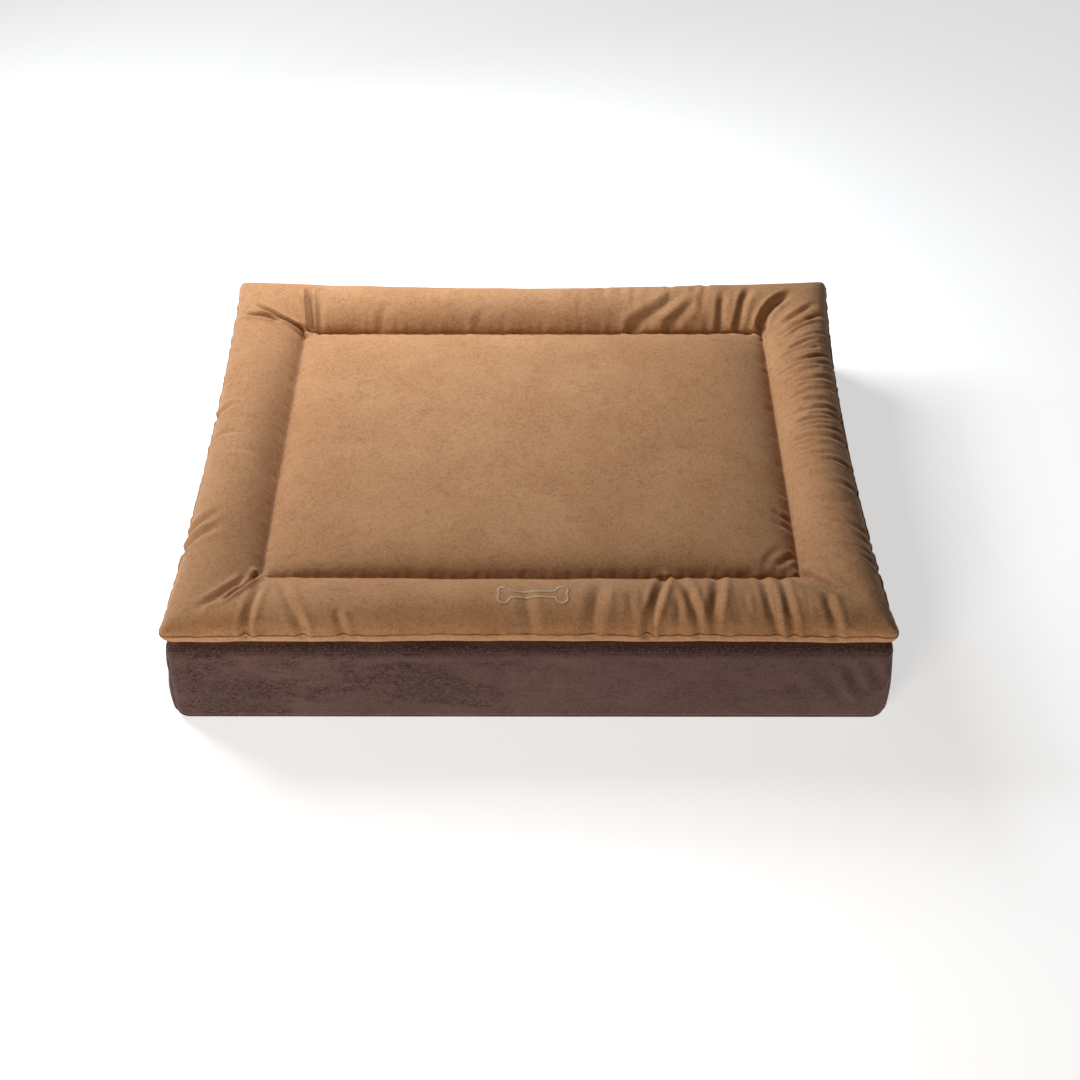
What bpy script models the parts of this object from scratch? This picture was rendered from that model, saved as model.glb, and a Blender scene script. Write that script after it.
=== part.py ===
"""Pet cushion bed: a foam mattress in a zipped velvet cover, with a loose stuffed topper.

Metres, +Z up. The origin is the middle of the underside: +X runs along the long side,
-Y is the front and +Y the back, where the zip is. The topper stands on the mattress's
top face and lifts straight off. The zip's slider runs along the back band, and its
pull tab turns on the slider.
"""

import math

import bmesh
import bpy
from mathutils import Vector

# Shared by every sewn piece
CLEARANCE = 0.0003          # between faces that touch
CLOTH = 0.002               # velvet with its pile and backing

# Mattress, measured at the seam under its top panel
BASE_LENGTH = 0.998
BASE_DEPTH = 0.788
BASE_HEIGHT = 0.146
CORNER_RADIUS = 0.027
CORNER_STEPS = 6
TOP_ROLL = 0.014            # how far the top panel turns down over the edge
BELLY = 0.0095              # how far the bands swell past the top seam
BELLY_HEIGHT = 0.026
HEM_SWELL = 0.004           # how far their lower edge stands outside the top seam
BAND_LEVELS = 8
FOAM_EASE = 0.001           # slack between the foam's sides and the bands

# Piping along the lower edge
PIPING_RADIUS = 0.0023
PIPING_HEIGHT = 0.0048

# Zip in the back band
ZIP_BELOW_TOP = 0.044       # from the mattress's top down to the zip's middle line
ZIP_SLOT = 0.011            # opening between the two halves of the back band
TAPE_WIDTH = 0.014
TAPE_THICKNESS = 0.0007
COIL_WIDTH = 0.0028
COIL_THICKNESS = 0.0018
SIDE_BAND_LAP = 0.015       # how far the side bands run onto the back past the corner
ZIP_MARGIN = 0.012          # from a side band's edge to the zip's end stop
STOP_LENGTH = 0.004

# Zip slider and its pull tab
SLIDER_LENGTH = 0.011
SLIDER_PLATE = 0.001
FLANGE_THICKNESS = 0.0012
CROWN_LENGTH = 0.008
CROWN_WIDTH = 0.0022
CROWN_BAR = 0.001
CROWN_WINDOW = 0.0024       # clear height under the crown, where the tab's bar turns
TAB_LENGTH = 0.028
TAB_WIDTH = 0.0062
TAB_THICKNESS = 0.0013
TAB_EYE_LENGTH = 0.0056
TAB_EYE_WIDTH = 0.0036

# Topper, measured at its outer seam
TOPPER_LENGTH = 1.000
TOPPER_DEPTH = 0.800
BORDER_WIDTH = 0.120        # from the outer seam to the quilted seam
PULL_IN = {"left": 0.009, "right": 0.017, "front": 0.003, "back": 0.015}
OUTER_SEAM_HEIGHT = 0.025   # above the mattress
QUILT_SEAM_HEIGHT = 0.012
BORDER_CROWN = 0.053
CENTRE_CROWN = 0.032
BORDER_DROP = 0.032         # swell of the underside below its seams, cut flat by the mattress
CENTRE_RISE_RUN = 0.085     # how far from the seam the centre reaches its full height
CENTRE_DROP_RUN = 0.030
BORDER_STEPS = 6
CENTRE_COLUMNS = 12
CENTRE_ROWS = 10
FILLING_EASE = 0.00085      # between the filling and the panels
MITRE_GAP = 0.004           # between two border fillings at a corner
FILLING_INSET = 1           # grid steps between a seam and the filling
THREAD_RADIUS = 0.0004
THREAD_STAND = 0.0022       # of the quilting thread above the bottom of its groove

# Embroidered motif on the front border
MOTIF_LENGTH = 0.100
MOTIF_CENTRE_X = 0.006
MOTIF_FROM_SEAM = (0.038, 0.060, 0.071)   # its rows, measured in from the outer seam
MOTIF_THICKNESS = 0.0008

TOPPER_REST = BASE_HEIGHT + CLEARANCE
ZIP_HEIGHT = BASE_HEIGHT - ZIP_BELOW_TOP
COLLECTION = "pet_cushion_bed"


# ---------------------------------------------------------------- scene and materials

def clear_scene():
    for obj in list(bpy.data.objects):
        bpy.data.objects.remove(obj, do_unlink=True)


def new_collection(name):
    collection = bpy.data.collections.new(name)
    bpy.context.scene.collection.children.link(collection)
    return collection


def make_material(name, red, green, blue, roughness, metallic=0.0):
    material = bpy.data.materials.new(name)
    material.use_nodes = True
    shader = material.node_tree.nodes["Principled BSDF"]
    shader.inputs["Base Color"].default_value = (red, green, blue, 1.0)
    shader.inputs["Roughness"].default_value = roughness
    shader.inputs["Metallic"].default_value = metallic
    return material


def add_object(name, mesh, material, parent=None, location=(0, 0, 0)):
    obj = bpy.data.objects.new(name, mesh)
    bpy.data.collections[COLLECTION].objects.link(obj)
    obj.location = location
    obj.parent = parent
    mesh.materials.clear()
    mesh.materials.append(material)
    return obj


def add_empty(name, location, parent=None):
    empty = bpy.data.objects.new(name, None)
    bpy.data.collections[COLLECTION].objects.link(empty)
    empty.location = location
    empty.parent = parent
    return empty


def mesh_from(name, bm):
    mesh = bpy.data.meshes.new(name)
    bmesh.ops.recalc_face_normals(bm, faces=bm.faces)
    if bm.calc_volume(signed=True) < 0:
        bmesh.ops.reverse_faces(bm, faces=bm.faces)
    bm.to_mesh(mesh)
    bm.free()
    return mesh


# ---------------------------------------------------------------- general shapes

def lattice_mesh(name, columns, rows, place, split=None):
    """A closed shell: a grid extruded once, each vertex put where place(i, j, side) says.

    side is 0 on the inner surface and 1 on the outer. split(i, j) is True where the cell's
    crease runs from its low corner to its high corner, and False where it runs across.
    """
    bm = bmesh.new()
    bmesh.ops.create_grid(bm, x_segments=columns, y_segments=rows, size=0.5)
    for vertex in bm.verts:
        vertex.co.x = round((vertex.co.x + 0.5) * columns)
        vertex.co.y = round((vertex.co.y + 0.5) * rows)
    walls = bmesh.ops.extrude_face_region(bm, geom=bm.faces[:], use_keep_orig=True)
    lifted = [item for item in walls["geom"] if isinstance(item, bmesh.types.BMVert)]
    bmesh.ops.translate(bm, verts=lifted, vec=(0, 0, 1))
    if split:
        crease_cells(bm, split)
    for vertex in bm.verts:
        i, j, side = (round(value) for value in vertex.co)
        vertex.co = place(i, j, side)
    return mesh_from(name, bm)


def crease_cells(bm, split):
    """Cut each cell of both surfaces into two triangles, along the crease that split names."""
    cells = [face for face in bm.faces if len({round(v.co.z) for v in face.verts}) == 1]
    for face in cells:
        corners = sorted(face.verts, key=lambda v: (round(v.co.x), round(v.co.y)))
        low, left_high, right_low, high = corners
        i, j = round(low.co.x), round(low.co.y)
        if split(i, j):
            bmesh.utils.face_split(face, low, high)
        else:
            bmesh.utils.face_split(face, left_high, right_low)


def rounded_box(name, size, corner, top=0.0, bottom=0.0, open_below=False):
    """A box centred on the Z axis and standing on z = 0, with its upright edges rounded."""
    bm = bmesh.new()
    bmesh.ops.create_cube(bm, size=1.0)
    bmesh.ops.translate(bm, verts=bm.verts, vec=(0, 0, 0.5))
    bmesh.ops.scale(bm, verts=bm.verts, vec=size)
    bevel_edges(bm, lambda a, b: abs(a.z - b.z) > size[2] / 2, corner, CORNER_STEPS)
    if top:
        bevel_edges(bm, lambda a, b: min(a.z, b.z) > size[2] - CLEARANCE, top, 3)
    if bottom:
        bevel_edges(bm, lambda a, b: max(a.z, b.z) < CLEARANCE, bottom, 2)
    if open_below:
        below = [f for f in bm.faces if max(v.co.z for v in f.verts) < CLEARANCE]
        bmesh.ops.delete(bm, geom=below, context="FACES")
    return mesh_from(name, bm)


def bevel_edges(bm, chosen, offset, segments):
    edges = [e for e in bm.edges if chosen(e.verts[0].co, e.verts[1].co)]
    bmesh.ops.bevel(bm, geom=edges, offset=offset, segments=segments, profile=0.5,
                    affect="EDGES", clamp_overlap=True)


def plain_box(bm, low, high):
    made = bmesh.ops.create_cube(bm, size=1.0)["verts"]
    low, high = Vector(low), Vector(high)
    bmesh.ops.scale(bm, verts=made, vec=high - low)
    bmesh.ops.translate(bm, verts=made, vec=(low + high) / 2)


def box_object(name, low, high, material, parent=None, location=(0, 0, 0)):
    bm = bmesh.new()
    plain_box(bm, low, high)
    return add_object(name, mesh_from(name, bm), material, parent, location)


def boolean(obj, low, high, operation):
    """Join a box to the object, or cut it out of it, and keep the result as its mesh."""
    bm = bmesh.new()
    plain_box(bm, low, high)
    mesh = mesh_from(obj.name + "_cutter", bm)
    cutter = bpy.data.objects.new(mesh.name, mesh)
    bpy.data.collections["cutters"].objects.link(cutter)
    cutter.hide_render = True
    cutter.display_type = "WIRE"
    cutter.parent = obj.parent
    cutter.location = obj.location
    modifier = obj.modifiers.new(operation.lower(), "BOOLEAN")
    modifier.operation = operation
    modifier.solver = "EXACT"
    modifier.object = cutter


# ---------------------------------------------------------------- the mattress's outline

def arc(centre, radius, start, end, steps=CORNER_STEPS):
    angles = [math.radians(start + (end - start) * k / steps) for k in range(steps + 1)]
    return [(Vector((centre[0] + radius * math.cos(a), centre[1] + radius * math.sin(a), 0)),
             Vector((math.cos(a), math.sin(a), 0))) for a in angles]


def corner_centre(x_side, y_side):
    return (x_side * (BASE_LENGTH / 2 - CORNER_RADIUS), y_side * (BASE_DEPTH / 2 - CORNER_RADIUS))


def corner_path(x_side, y_side, start, end, steps=CORNER_STEPS):
    return arc(corner_centre(x_side, y_side), CORNER_RADIUS, start, end, steps)


def back_point(x):
    return (Vector((x, BASE_DEPTH / 2, 0)), Vector((0, 1, 0)))


def band_swell(z):
    """How far a band's outer face stands outside the outline at height z."""
    top, hem = band_span()
    if z > BELLY_HEIGHT:
        return BELLY * (1 - ((z - BELLY_HEIGHT) / (top - BELLY_HEIGHT)) ** 2)
    drop = (BELLY_HEIGHT - z) / (BELLY_HEIGHT - hem)
    return BELLY - (BELLY - HEM_SWELL) * drop ** 2


def band_span():
    """The heights of a band's upper and lower edges."""
    return (BASE_HEIGHT - TOP_ROLL - CLEARANCE,
            PIPING_HEIGHT + PIPING_RADIUS + CLEARANCE)


def strip_mesh(name, path, low, high, depth, thickness):
    """A strip that follows the bands' swell: its outer face lies depth behind theirs."""
    levels = [low + (high - low) * k / BAND_LEVELS for k in range(BAND_LEVELS + 1)]

    def place(i, j, side):
        point, normal = path[i]
        inward = depth + (0 if side else thickness)
        return point + normal * (band_swell(levels[j]) - inward) + Vector((0, 0, levels[j]))

    return lattice_mesh(name, len(path) - 1, BAND_LEVELS, place)


# ---------------------------------------------------------------- mattress

def build_foam(material):
    inset = CLOTH + FOAM_EASE
    below = CLOTH + CLEARANCE
    size = (BASE_LENGTH - 2 * inset, BASE_DEPTH - 2 * inset, BASE_HEIGHT - 2 * below)
    mesh = rounded_box("base_foam_core", size, CORNER_RADIUS - inset,
                       top=TOP_ROLL - CLOTH, bottom=PIPING_RADIUS)
    add_object("base_foam_core", mesh, material, location=(0, 0, below))


def build_top_panel(material):
    """The top panel, which rolls over the foam's edge down to the seam with the bands."""
    mesh = rounded_box("base_top_panel", (BASE_LENGTH, BASE_DEPTH, TOP_ROLL), CORNER_RADIUS,
                       top=TOP_ROLL - CLOTH / 2, open_below=True)
    panel = add_object("base_top_panel", mesh, material, location=(0, 0, BASE_HEIGHT - TOP_ROLL))
    solidify = panel.modifiers.new("cloth", "SOLIDIFY")
    solidify.thickness = CLOTH
    solidify.offset = -1
    solidify.use_even_offset = True


def build_bottom_panel(material):
    swell = HEM_SWELL - CLEARANCE
    size = (BASE_LENGTH + 2 * swell, BASE_DEPTH + 2 * swell, CLOTH)
    mesh = rounded_box("base_bottom_panel", size, CORNER_RADIUS + swell)
    add_object("base_bottom_panel", mesh, material)


def build_bands(material):
    top, hem = band_span()
    seam_turn = math.degrees(CLEARANCE / 2 / CORNER_RADIUS)
    lap = BASE_LENGTH / 2 - CORNER_RADIUS - SIDE_BAND_LAP
    front = (corner_path(-1, -1, 225 + seam_turn, 270, 3) +
             corner_path(1, -1, 270, 315 - seam_turn, 3))
    left = ([back_point(-lap)] + corner_path(-1, 1, 90, 180) +
            corner_path(-1, -1, 180, 225 - seam_turn, 3))
    right = (corner_path(1, -1, 315 + seam_turn, 360, 3) +
             corner_path(1, 1, 0, 90) + [back_point(lap)])
    for name, path in (("base_front_band", front), ("base_left_band", left),
                       ("base_right_band", right)):
        add_object(name, strip_mesh(name, path, hem, top, 0, CLOTH), material)
    back = [back_point(lap - CLEARANCE), back_point(-lap + CLEARANCE)]
    upper = strip_mesh("base_back_band_upper", back, ZIP_HEIGHT + ZIP_SLOT / 2, top, 0, CLOTH)
    lower = strip_mesh("base_back_band_lower", back, hem, ZIP_HEIGHT - ZIP_SLOT / 2, 0, CLOTH)
    add_object("base_back_band_upper", upper, material)
    add_object("base_back_band_lower", lower, material)


def closed_tube(name, points, radius, resolution, material, parent=None):
    """A round cord along a closed loop of points."""
    curve = bpy.data.curves.new(name, "CURVE")
    curve.dimensions = "3D"
    curve.bevel_depth = radius
    curve.bevel_resolution = resolution
    spline = curve.splines.new("POLY")
    spline.points.add(len(points) - 1)
    for target, point in zip(spline.points, points):
        target.co = (*point, 1)
    spline.use_cyclic_u = True
    return add_object(name, curve, material, parent)


def build_piping(material):
    path = []
    for x_side, y_side, start in ((1, 1, 0), (-1, 1, 90), (-1, -1, 180), (1, -1, 270)):
        path += corner_path(x_side, y_side, start, start + 90)
    points = [point + normal * HEM_SWELL + Vector((0, 0, PIPING_HEIGHT))
              for point, normal in path]
    closed_tube("base_bottom_piping", points, PIPING_RADIUS, 2, material)


# ---------------------------------------------------------------- zip

def zip_half_length():
    """From the middle of the back to the outer end of the zip's coils."""
    return BASE_LENGTH / 2 - CORNER_RADIUS - SIDE_BAND_LAP - ZIP_MARGIN


def tape_face():
    """The Y of the tapes' outer faces on the zip's middle line."""
    return BASE_DEPTH / 2 + band_swell(ZIP_HEIGHT - TAPE_WIDTH / 2) - CLOTH - CLEARANCE


def coil_face():
    return tape_face() + CLEARANCE + COIL_THICKNESS


def build_zip(tape_material, coil_material, metal):
    reach = zip_half_length() + ZIP_MARGIN
    path = [back_point(reach), back_point(-reach)]
    half_gap = CLEARANCE / 2
    low = ZIP_HEIGHT - half_gap - TAPE_WIDTH
    high = ZIP_HEIGHT + half_gap + TAPE_WIDTH
    behind = CLOTH + CLEARANCE
    upper = strip_mesh("zip_tape_upper", path, ZIP_HEIGHT + half_gap, high, behind,
                       TAPE_THICKNESS)
    lower = strip_mesh("zip_tape_lower", path, low, ZIP_HEIGHT - half_gap, behind,
                       TAPE_THICKNESS)
    add_object("zip_tape_upper", upper, tape_material)
    add_object("zip_tape_lower", lower, tape_material)
    end = zip_half_length() - STOP_LENGTH - CLEARANCE
    near, far = tape_face() + CLEARANCE, coil_face()
    box_object("zip_coil_upper", (-end, near, ZIP_HEIGHT + half_gap),
               (end, far, ZIP_HEIGHT + half_gap + COIL_WIDTH), coil_material)
    box_object("zip_coil_lower", (-end, near, ZIP_HEIGHT - half_gap - COIL_WIDTH),
               (end, far, ZIP_HEIGHT - half_gap), coil_material)
    for name, side in (("zip_end_stop_left", -1), ("zip_end_stop_right", 1)):
        stop = box_object(name, (-STOP_LENGTH / 2, near, -COIL_WIDTH),
                          (STOP_LENGTH / 2, far, COIL_WIDTH), metal,
                          location=(side * (zip_half_length() - STOP_LENGTH / 2), 0, ZIP_HEIGHT))
        bevel = stop.modifiers.new("edges", "BEVEL")
        bevel.width = CLEARANCE
        bevel.segments = 2


def slider_rest():
    """The slider's middle at rest: against the stop at the right-hand end of the zip."""
    x = zip_half_length() - STOP_LENGTH - 2 * CLEARANCE - SLIDER_LENGTH / 2
    return Vector((x, coil_face() + CLEARANCE, ZIP_HEIGHT))


def build_slider(metal):
    """A saddle over both coils, with a crown for the tab. Its origin is under its plate."""
    carrier = add_empty("zip_slider_axis", slider_rest())
    half = SLIDER_LENGTH / 2
    inner = COIL_WIDTH + 2 * CLEARANCE
    outer = inner + FLANGE_THICKNESS
    foot = -COIL_THICKNESS - CLEARANCE / 2
    slider = box_object("zip_slider_body", (-half, foot, -outer), (half, SLIDER_PLATE, outer),
                        metal, carrier)
    boolean(slider, (-SLIDER_LENGTH, -SLIDER_LENGTH, -inner), (SLIDER_LENGTH, 0, inner),
            "DIFFERENCE")
    crown_top = SLIDER_PLATE + CROWN_WINDOW + CROWN_BAR
    boolean(slider, (-CROWN_LENGTH / 2, SLIDER_PLATE / 2, -CROWN_WIDTH / 2),
            (CROWN_LENGTH / 2, crown_top, CROWN_WIDTH / 2), "UNION")
    window = CROWN_LENGTH / 2 - CROWN_BAR
    boolean(slider, (-window, SLIDER_PLATE, -SLIDER_LENGTH),
            (window, SLIDER_PLATE + CROWN_WINDOW, SLIDER_LENGTH), "DIFFERENCE")
    return carrier


def build_pull_tab(metal, carrier):
    """A flat tab whose end bar turns under the crown. Its origin is on the bar's axis."""
    pivot = Vector((0, SLIDER_PLATE + CROWN_WINDOW / 2, 0))
    bm = bmesh.new()
    half = TAB_THICKNESS / 2
    plain_box(bm, (-TAB_LENGTH + half, -half, -TAB_WIDTH / 2), (half, half, TAB_WIDTH / 2))
    bevel_edges(bm, lambda a, b: abs(a.y - b.y) > half and max(a.x, b.x) < 0,
                TAB_WIDTH / 3, 4)
    tab = add_object("zip_pull_tab", mesh_from("zip_pull_tab", bm), metal, carrier, pivot)
    boolean(tab, (-half - TAB_EYE_LENGTH, -TAB_WIDTH, -TAB_EYE_WIDTH / 2),
            (-half, TAB_WIDTH, TAB_EYE_WIDTH / 2), "DIFFERENCE")


# ---------------------------------------------------------------- topper: its surfaces

def stations(length, centre_steps):
    """Places along one side as (distance from the middle, border share, distance past the seam).

    The border share runs from 0 at the outer seam to 1 at the quilted seam.
    """
    half = length / 2
    shares = [(1 - math.cos(math.pi * k / BORDER_STEPS)) / 2 for k in range(BORDER_STEPS)]
    seam = half - BORDER_WIDTH
    result = [(-half + share * BORDER_WIDTH, share, 0.0) for share in shares]
    for k in range(centre_steps + 1):
        place = -seam * math.cos(math.pi * k / centre_steps)
        result.append((place, 1.0, seam - abs(place)))
    result += [(half - share * BORDER_WIDTH, share, 0.0) for share in reversed(shares)]
    return result


COLUMNS = stations(TOPPER_LENGTH, CENTRE_COLUMNS)
ROWS = stations(TOPPER_DEPTH, CENTRE_ROWS)


def swell(share):
    """Height of a stuffed tube's half-round section, from 0 at its seams to 1 at its middle."""
    return math.sqrt(max(0.0, 1 - (2 * share - 1) ** 2))


def rise(distance, run):
    """A quarter round that reaches 1 at the given run."""
    return math.sqrt(1 - (1 - min(distance / run, 1.0)) ** 2)


def plan_point(x, y, x_share, y_share):
    """Where a point of the flat pattern lies once the sides have pulled in."""
    along_x = 1 - (2 * x / TOPPER_LENGTH) ** 2
    along_y = 1 - (2 * y / TOPPER_DEPTH) ** 2
    pull_x = PULL_IN["left"] if x < 0 else PULL_IN["right"]
    pull_y = PULL_IN["front"] if y < 0 else PULL_IN["back"]
    x -= math.copysign(pull_x * along_y * (1 - x_share), x)
    y -= math.copysign(pull_y * along_x * (1 - y_share), y)
    return x, y


def seam_height(share):
    return OUTER_SEAM_HEIGHT + (QUILT_SEAM_HEIGHT - OUTER_SEAM_HEIGHT) * share


def top_height(share, past_x, past_y):
    """Height of the top panel's lower face."""
    mean_seam = (OUTER_SEAM_HEIGHT + QUILT_SEAM_HEIGHT) / 2
    height = seam_height(share) + CLEARANCE / 2
    height += (BORDER_CROWN - CLOTH - mean_seam) * swell(share)
    crown = CENTRE_CROWN - CLOTH - QUILT_SEAM_HEIGHT
    return height + crown * rise(past_x, CENTRE_RISE_RUN) * rise(past_y, CENTRE_RISE_RUN)


def underside_height(share, past_x, past_y):
    """Height of the bottom panel's lower face: flat where it lies on the mattress."""
    drop = BORDER_DROP * swell(share)
    drop += QUILT_SEAM_HEIGHT * rise(past_x, CENTRE_DROP_RUN) * rise(past_y, CENTRE_DROP_RUN)
    return max(0.0, seam_height(share) - CLOTH - CLEARANCE / 2 - drop)


def topper_cell(column, row):
    """Plan place and border data of one grid vertex."""
    x, x_share, past_x = COLUMNS[column]
    y, y_share, past_y = ROWS[row]
    flat_x, flat_y = plan_point(x, y, x_share, y_share)
    return flat_x, flat_y, min(x_share, y_share), past_x, past_y


def mitre_runs_up(i, j):
    """True in the two quarters where the mitre climbs towards +X and +Y together."""
    return (i < len(COLUMNS) // 2) == (j < len(ROWS) // 2)


# ---------------------------------------------------------------- topper: its pieces

def build_topper_panels(material, carrier):
    def top(i, j, side):
        x, y, share, past_x, past_y = topper_cell(i, j)
        return x, y, top_height(share, past_x, past_y) + side * CLOTH

    def bottom(i, j, side):
        x, y, share, past_x, past_y = topper_cell(i, j)
        return x, y, underside_height(share, past_x, past_y) + side * CLOTH

    for name, place in (("topper_top_panel", top), ("topper_bottom_panel", bottom)):
        mesh = lattice_mesh(name, len(COLUMNS) - 1, len(ROWS) - 1, place, mitre_runs_up)
        add_object(name, mesh, material, carrier)


def between_panels(share, past_x, past_y, side):
    """Height of a filling's lower (side 0) or upper (side 1) surface."""
    if side:
        return top_height(share, past_x, past_y) - FILLING_EASE
    return underside_height(share, past_x, past_y) + CLOTH + FILLING_EASE


def build_centre_filling(material, carrier):
    first = BORDER_STEPS + FILLING_INSET
    columns = CENTRE_COLUMNS - 2 * FILLING_INSET
    rows = CENTRE_ROWS - 2 * FILLING_INSET

    def place(i, j, side):
        x, y, share, past_x, past_y = topper_cell(first + i, first + j)
        return x, y, between_panels(share, past_x, past_y, side)

    mesh = lattice_mesh("topper_centre_filling", columns, rows, place, lambda i, j: (
        mitre_runs_up(first + i, first + j)))
    add_object("topper_centre_filling", mesh, material, carrier)


def build_border_filling(name, along, across, turn, material, carrier):
    """One stuffed roll: along and across are the stations of its length and of its width.

    turn(a, b, a_share, b_share) gives the plan place. The ends are mitred at 45 degrees.
    """
    middle = along[BORDER_STEPS:len(along) - BORDER_STEPS]

    def place(i, j, side):
        b, share, _ = across[j + FILLING_INSET]
        mitre = BORDER_WIDTH * (1 - share) - MITRE_GAP
        if i == 0:
            a, a_share = middle[0][0] - mitre, share
        elif i == len(middle) + 1:
            a, a_share = middle[-1][0] + mitre, share
        else:
            a, a_share = middle[i - 1][0], 1.0
        x, y = turn(a, b, a_share, share)
        return x, y, between_panels(share, 0, 0, side)

    columns = len(middle) + 1
    rows = BORDER_STEPS - 2 * FILLING_INSET
    add_object(name, lattice_mesh(name, columns, rows, place), material, carrier)


def build_border_fillings(material, carrier):
    def lengthwise(a, b, a_share, b_share):
        return plan_point(a, b, a_share, b_share)

    def sideways(a, b, a_share, b_share):
        return plan_point(b, a, b_share, a_share)

    build_border_filling("topper_front_filling", COLUMNS, ROWS, lengthwise, material, carrier)
    build_border_filling("topper_back_filling", COLUMNS, ROWS[::-1], lengthwise, material, carrier)
    build_border_filling("topper_left_filling", ROWS, COLUMNS, sideways, material, carrier)
    build_border_filling("topper_right_filling", ROWS, COLUMNS[::-1], sideways, material, carrier)


def build_quilting_thread(material, carrier):
    """The line of stitches that holds the top panel to the bottom panel."""
    x = TOPPER_LENGTH / 2 - BORDER_WIDTH
    y = TOPPER_DEPTH / 2 - BORDER_WIDTH
    z = QUILT_SEAM_HEIGHT + CLEARANCE / 2 + CLOTH + THREAD_STAND
    points = [Vector((sx * x, sy * y, z)) for sx, sy in ((1, 1), (-1, 1), (-1, -1), (1, -1))]
    closed_tube("topper_quilting_thread", points, THREAD_RADIUS, 1, material, carrier)


def facet_height(distance):
    """Height of the top panel's lower face over the front border, on its flat facets."""
    for (low, low_share, _), (high, high_share, _) in zip(ROWS, ROWS[1:]):
        start, end = low + TOPPER_DEPTH / 2, high + TOPPER_DEPTH / 2
        if start <= distance <= end:
            mix = (distance - start) / (end - start)
            return (top_height(low_share, 0, 0) * (1 - mix) + top_height(high_share, 0, 0) * mix)
    raise ValueError("the motif lies outside the front border")


def build_motif(material, carrier):
    """The embroidered patch, which follows the front border's crown."""
    rows = MOTIF_FROM_SEAM
    steps = 8

    def place(i, j, side):
        x = MOTIF_CENTRE_X + MOTIF_LENGTH * (i / steps - 0.5)
        distance = rows[j]
        share = distance / BORDER_WIDTH
        x, y = plan_point(x, distance - TOPPER_DEPTH / 2, 1.0, share)
        height = facet_height(distance) + CLOTH + CLEARANCE + side * MOTIF_THICKNESS
        return x, y, height

    mesh = lattice_mesh("topper_motif_embroidery", steps, len(rows) - 1, place)
    add_object("topper_motif_embroidery", mesh, material, carrier)


# ---------------------------------------------------------------- the whole bed

def main():
    clear_scene()
    new_collection(COLLECTION)
    new_collection("cutters")
    dark_velvet = make_material("dark_velvet", 0.105, 0.059, 0.051, 0.85)
    tan_velvet = make_material("tan_velvet", 0.43, 0.24, 0.13, 0.85)
    foam = make_material("upholstery_foam", 0.80, 0.74, 0.55, 0.95)
    fibre = make_material("polyester_fibre", 0.88, 0.88, 0.86, 0.95)
    thread = make_material("tan_thread", 0.50, 0.31, 0.18, 0.6)
    motif = make_material("embroidery_thread", 0.60, 0.42, 0.27, 0.5)
    tape = make_material("zip_tape", 0.08, 0.05, 0.045, 0.8)
    coil = make_material("zip_coil_nylon", 0.06, 0.04, 0.036, 0.4)
    metal = make_material("zip_metal", 0.35, 0.30, 0.26, 0.35, 1.0)

    build_foam(foam)
    build_top_panel(dark_velvet)
    build_bottom_panel(dark_velvet)
    build_bands(dark_velvet)
    build_piping(dark_velvet)
    build_zip(tape, coil, metal)
    slider_carrier = build_slider(metal)
    build_pull_tab(metal, slider_carrier)

    topper = add_empty("topper_rest", (0, 0, TOPPER_REST))
    build_topper_panels(tan_velvet, topper)
    build_centre_filling(fibre, topper)
    build_border_fillings(fibre, topper)
    build_quilting_thread(thread, topper)
    build_motif(motif, topper)


main()
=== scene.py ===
"""Velvet pet bed: the looks of its topper, mattress, stitching, motif and zip.

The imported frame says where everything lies. Each operator below makes one piece, or a group
of like pieces, around it. Lengths are metres, +Z is up and the bed's front looks along -Y.
"""

import math

import bmesh
import bpy
import numpy as np
from mathutils import Matrix, Vector


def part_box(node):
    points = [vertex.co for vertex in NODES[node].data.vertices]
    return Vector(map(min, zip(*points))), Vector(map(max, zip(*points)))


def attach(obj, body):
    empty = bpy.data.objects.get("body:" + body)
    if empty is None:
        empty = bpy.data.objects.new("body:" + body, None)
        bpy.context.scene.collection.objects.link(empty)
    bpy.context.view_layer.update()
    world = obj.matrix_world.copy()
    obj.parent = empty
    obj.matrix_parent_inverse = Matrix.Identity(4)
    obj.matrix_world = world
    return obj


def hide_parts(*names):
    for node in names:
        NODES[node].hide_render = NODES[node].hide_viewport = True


bl_info = {
    "name": "Velvet Pet Bed",
    "version": (1, 0, 0),
    "blender": (4, 5, 0),
    "location": "3D View > Sidebar > Pet Bed",
    "description": "Makes the velvet, stitching, zip and stage around a pet bed's frame",
    "category": "Object",
}

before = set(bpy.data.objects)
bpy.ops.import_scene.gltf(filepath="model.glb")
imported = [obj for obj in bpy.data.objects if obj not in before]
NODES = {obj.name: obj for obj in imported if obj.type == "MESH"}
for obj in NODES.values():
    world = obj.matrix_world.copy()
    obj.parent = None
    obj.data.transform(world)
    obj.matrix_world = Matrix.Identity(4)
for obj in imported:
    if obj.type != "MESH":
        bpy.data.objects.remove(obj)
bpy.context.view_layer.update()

CLEAR = 0.0003              # between two pieces that touch
WELD = 1e-6                 # points nearer than this are one
TOPPER_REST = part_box("topper_bottom_panel")[0].z
TOPPER_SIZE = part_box("topper_top_panel")[1] * 2
MATTRESS_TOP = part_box("base_top_panel")[1].z
TOP_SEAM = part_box("base_top_panel")[0].z
MATTRESS_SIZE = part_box("base_top_panel")[1] * 2
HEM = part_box("base_front_band")[0].z


# ---------------------------------------------------------------- small helpers

def linear_colour(code):
    """An sRGB hex code as linear red, green, blue and alpha."""
    parts = [int(code[k:k + 2], 16) / 255 for k in (0, 2, 4)]
    return (*(p / 12.92 if p <= 0.04045 else ((p + 0.055) / 1.055) ** 2.4 for p in parts), 1.0)


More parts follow.
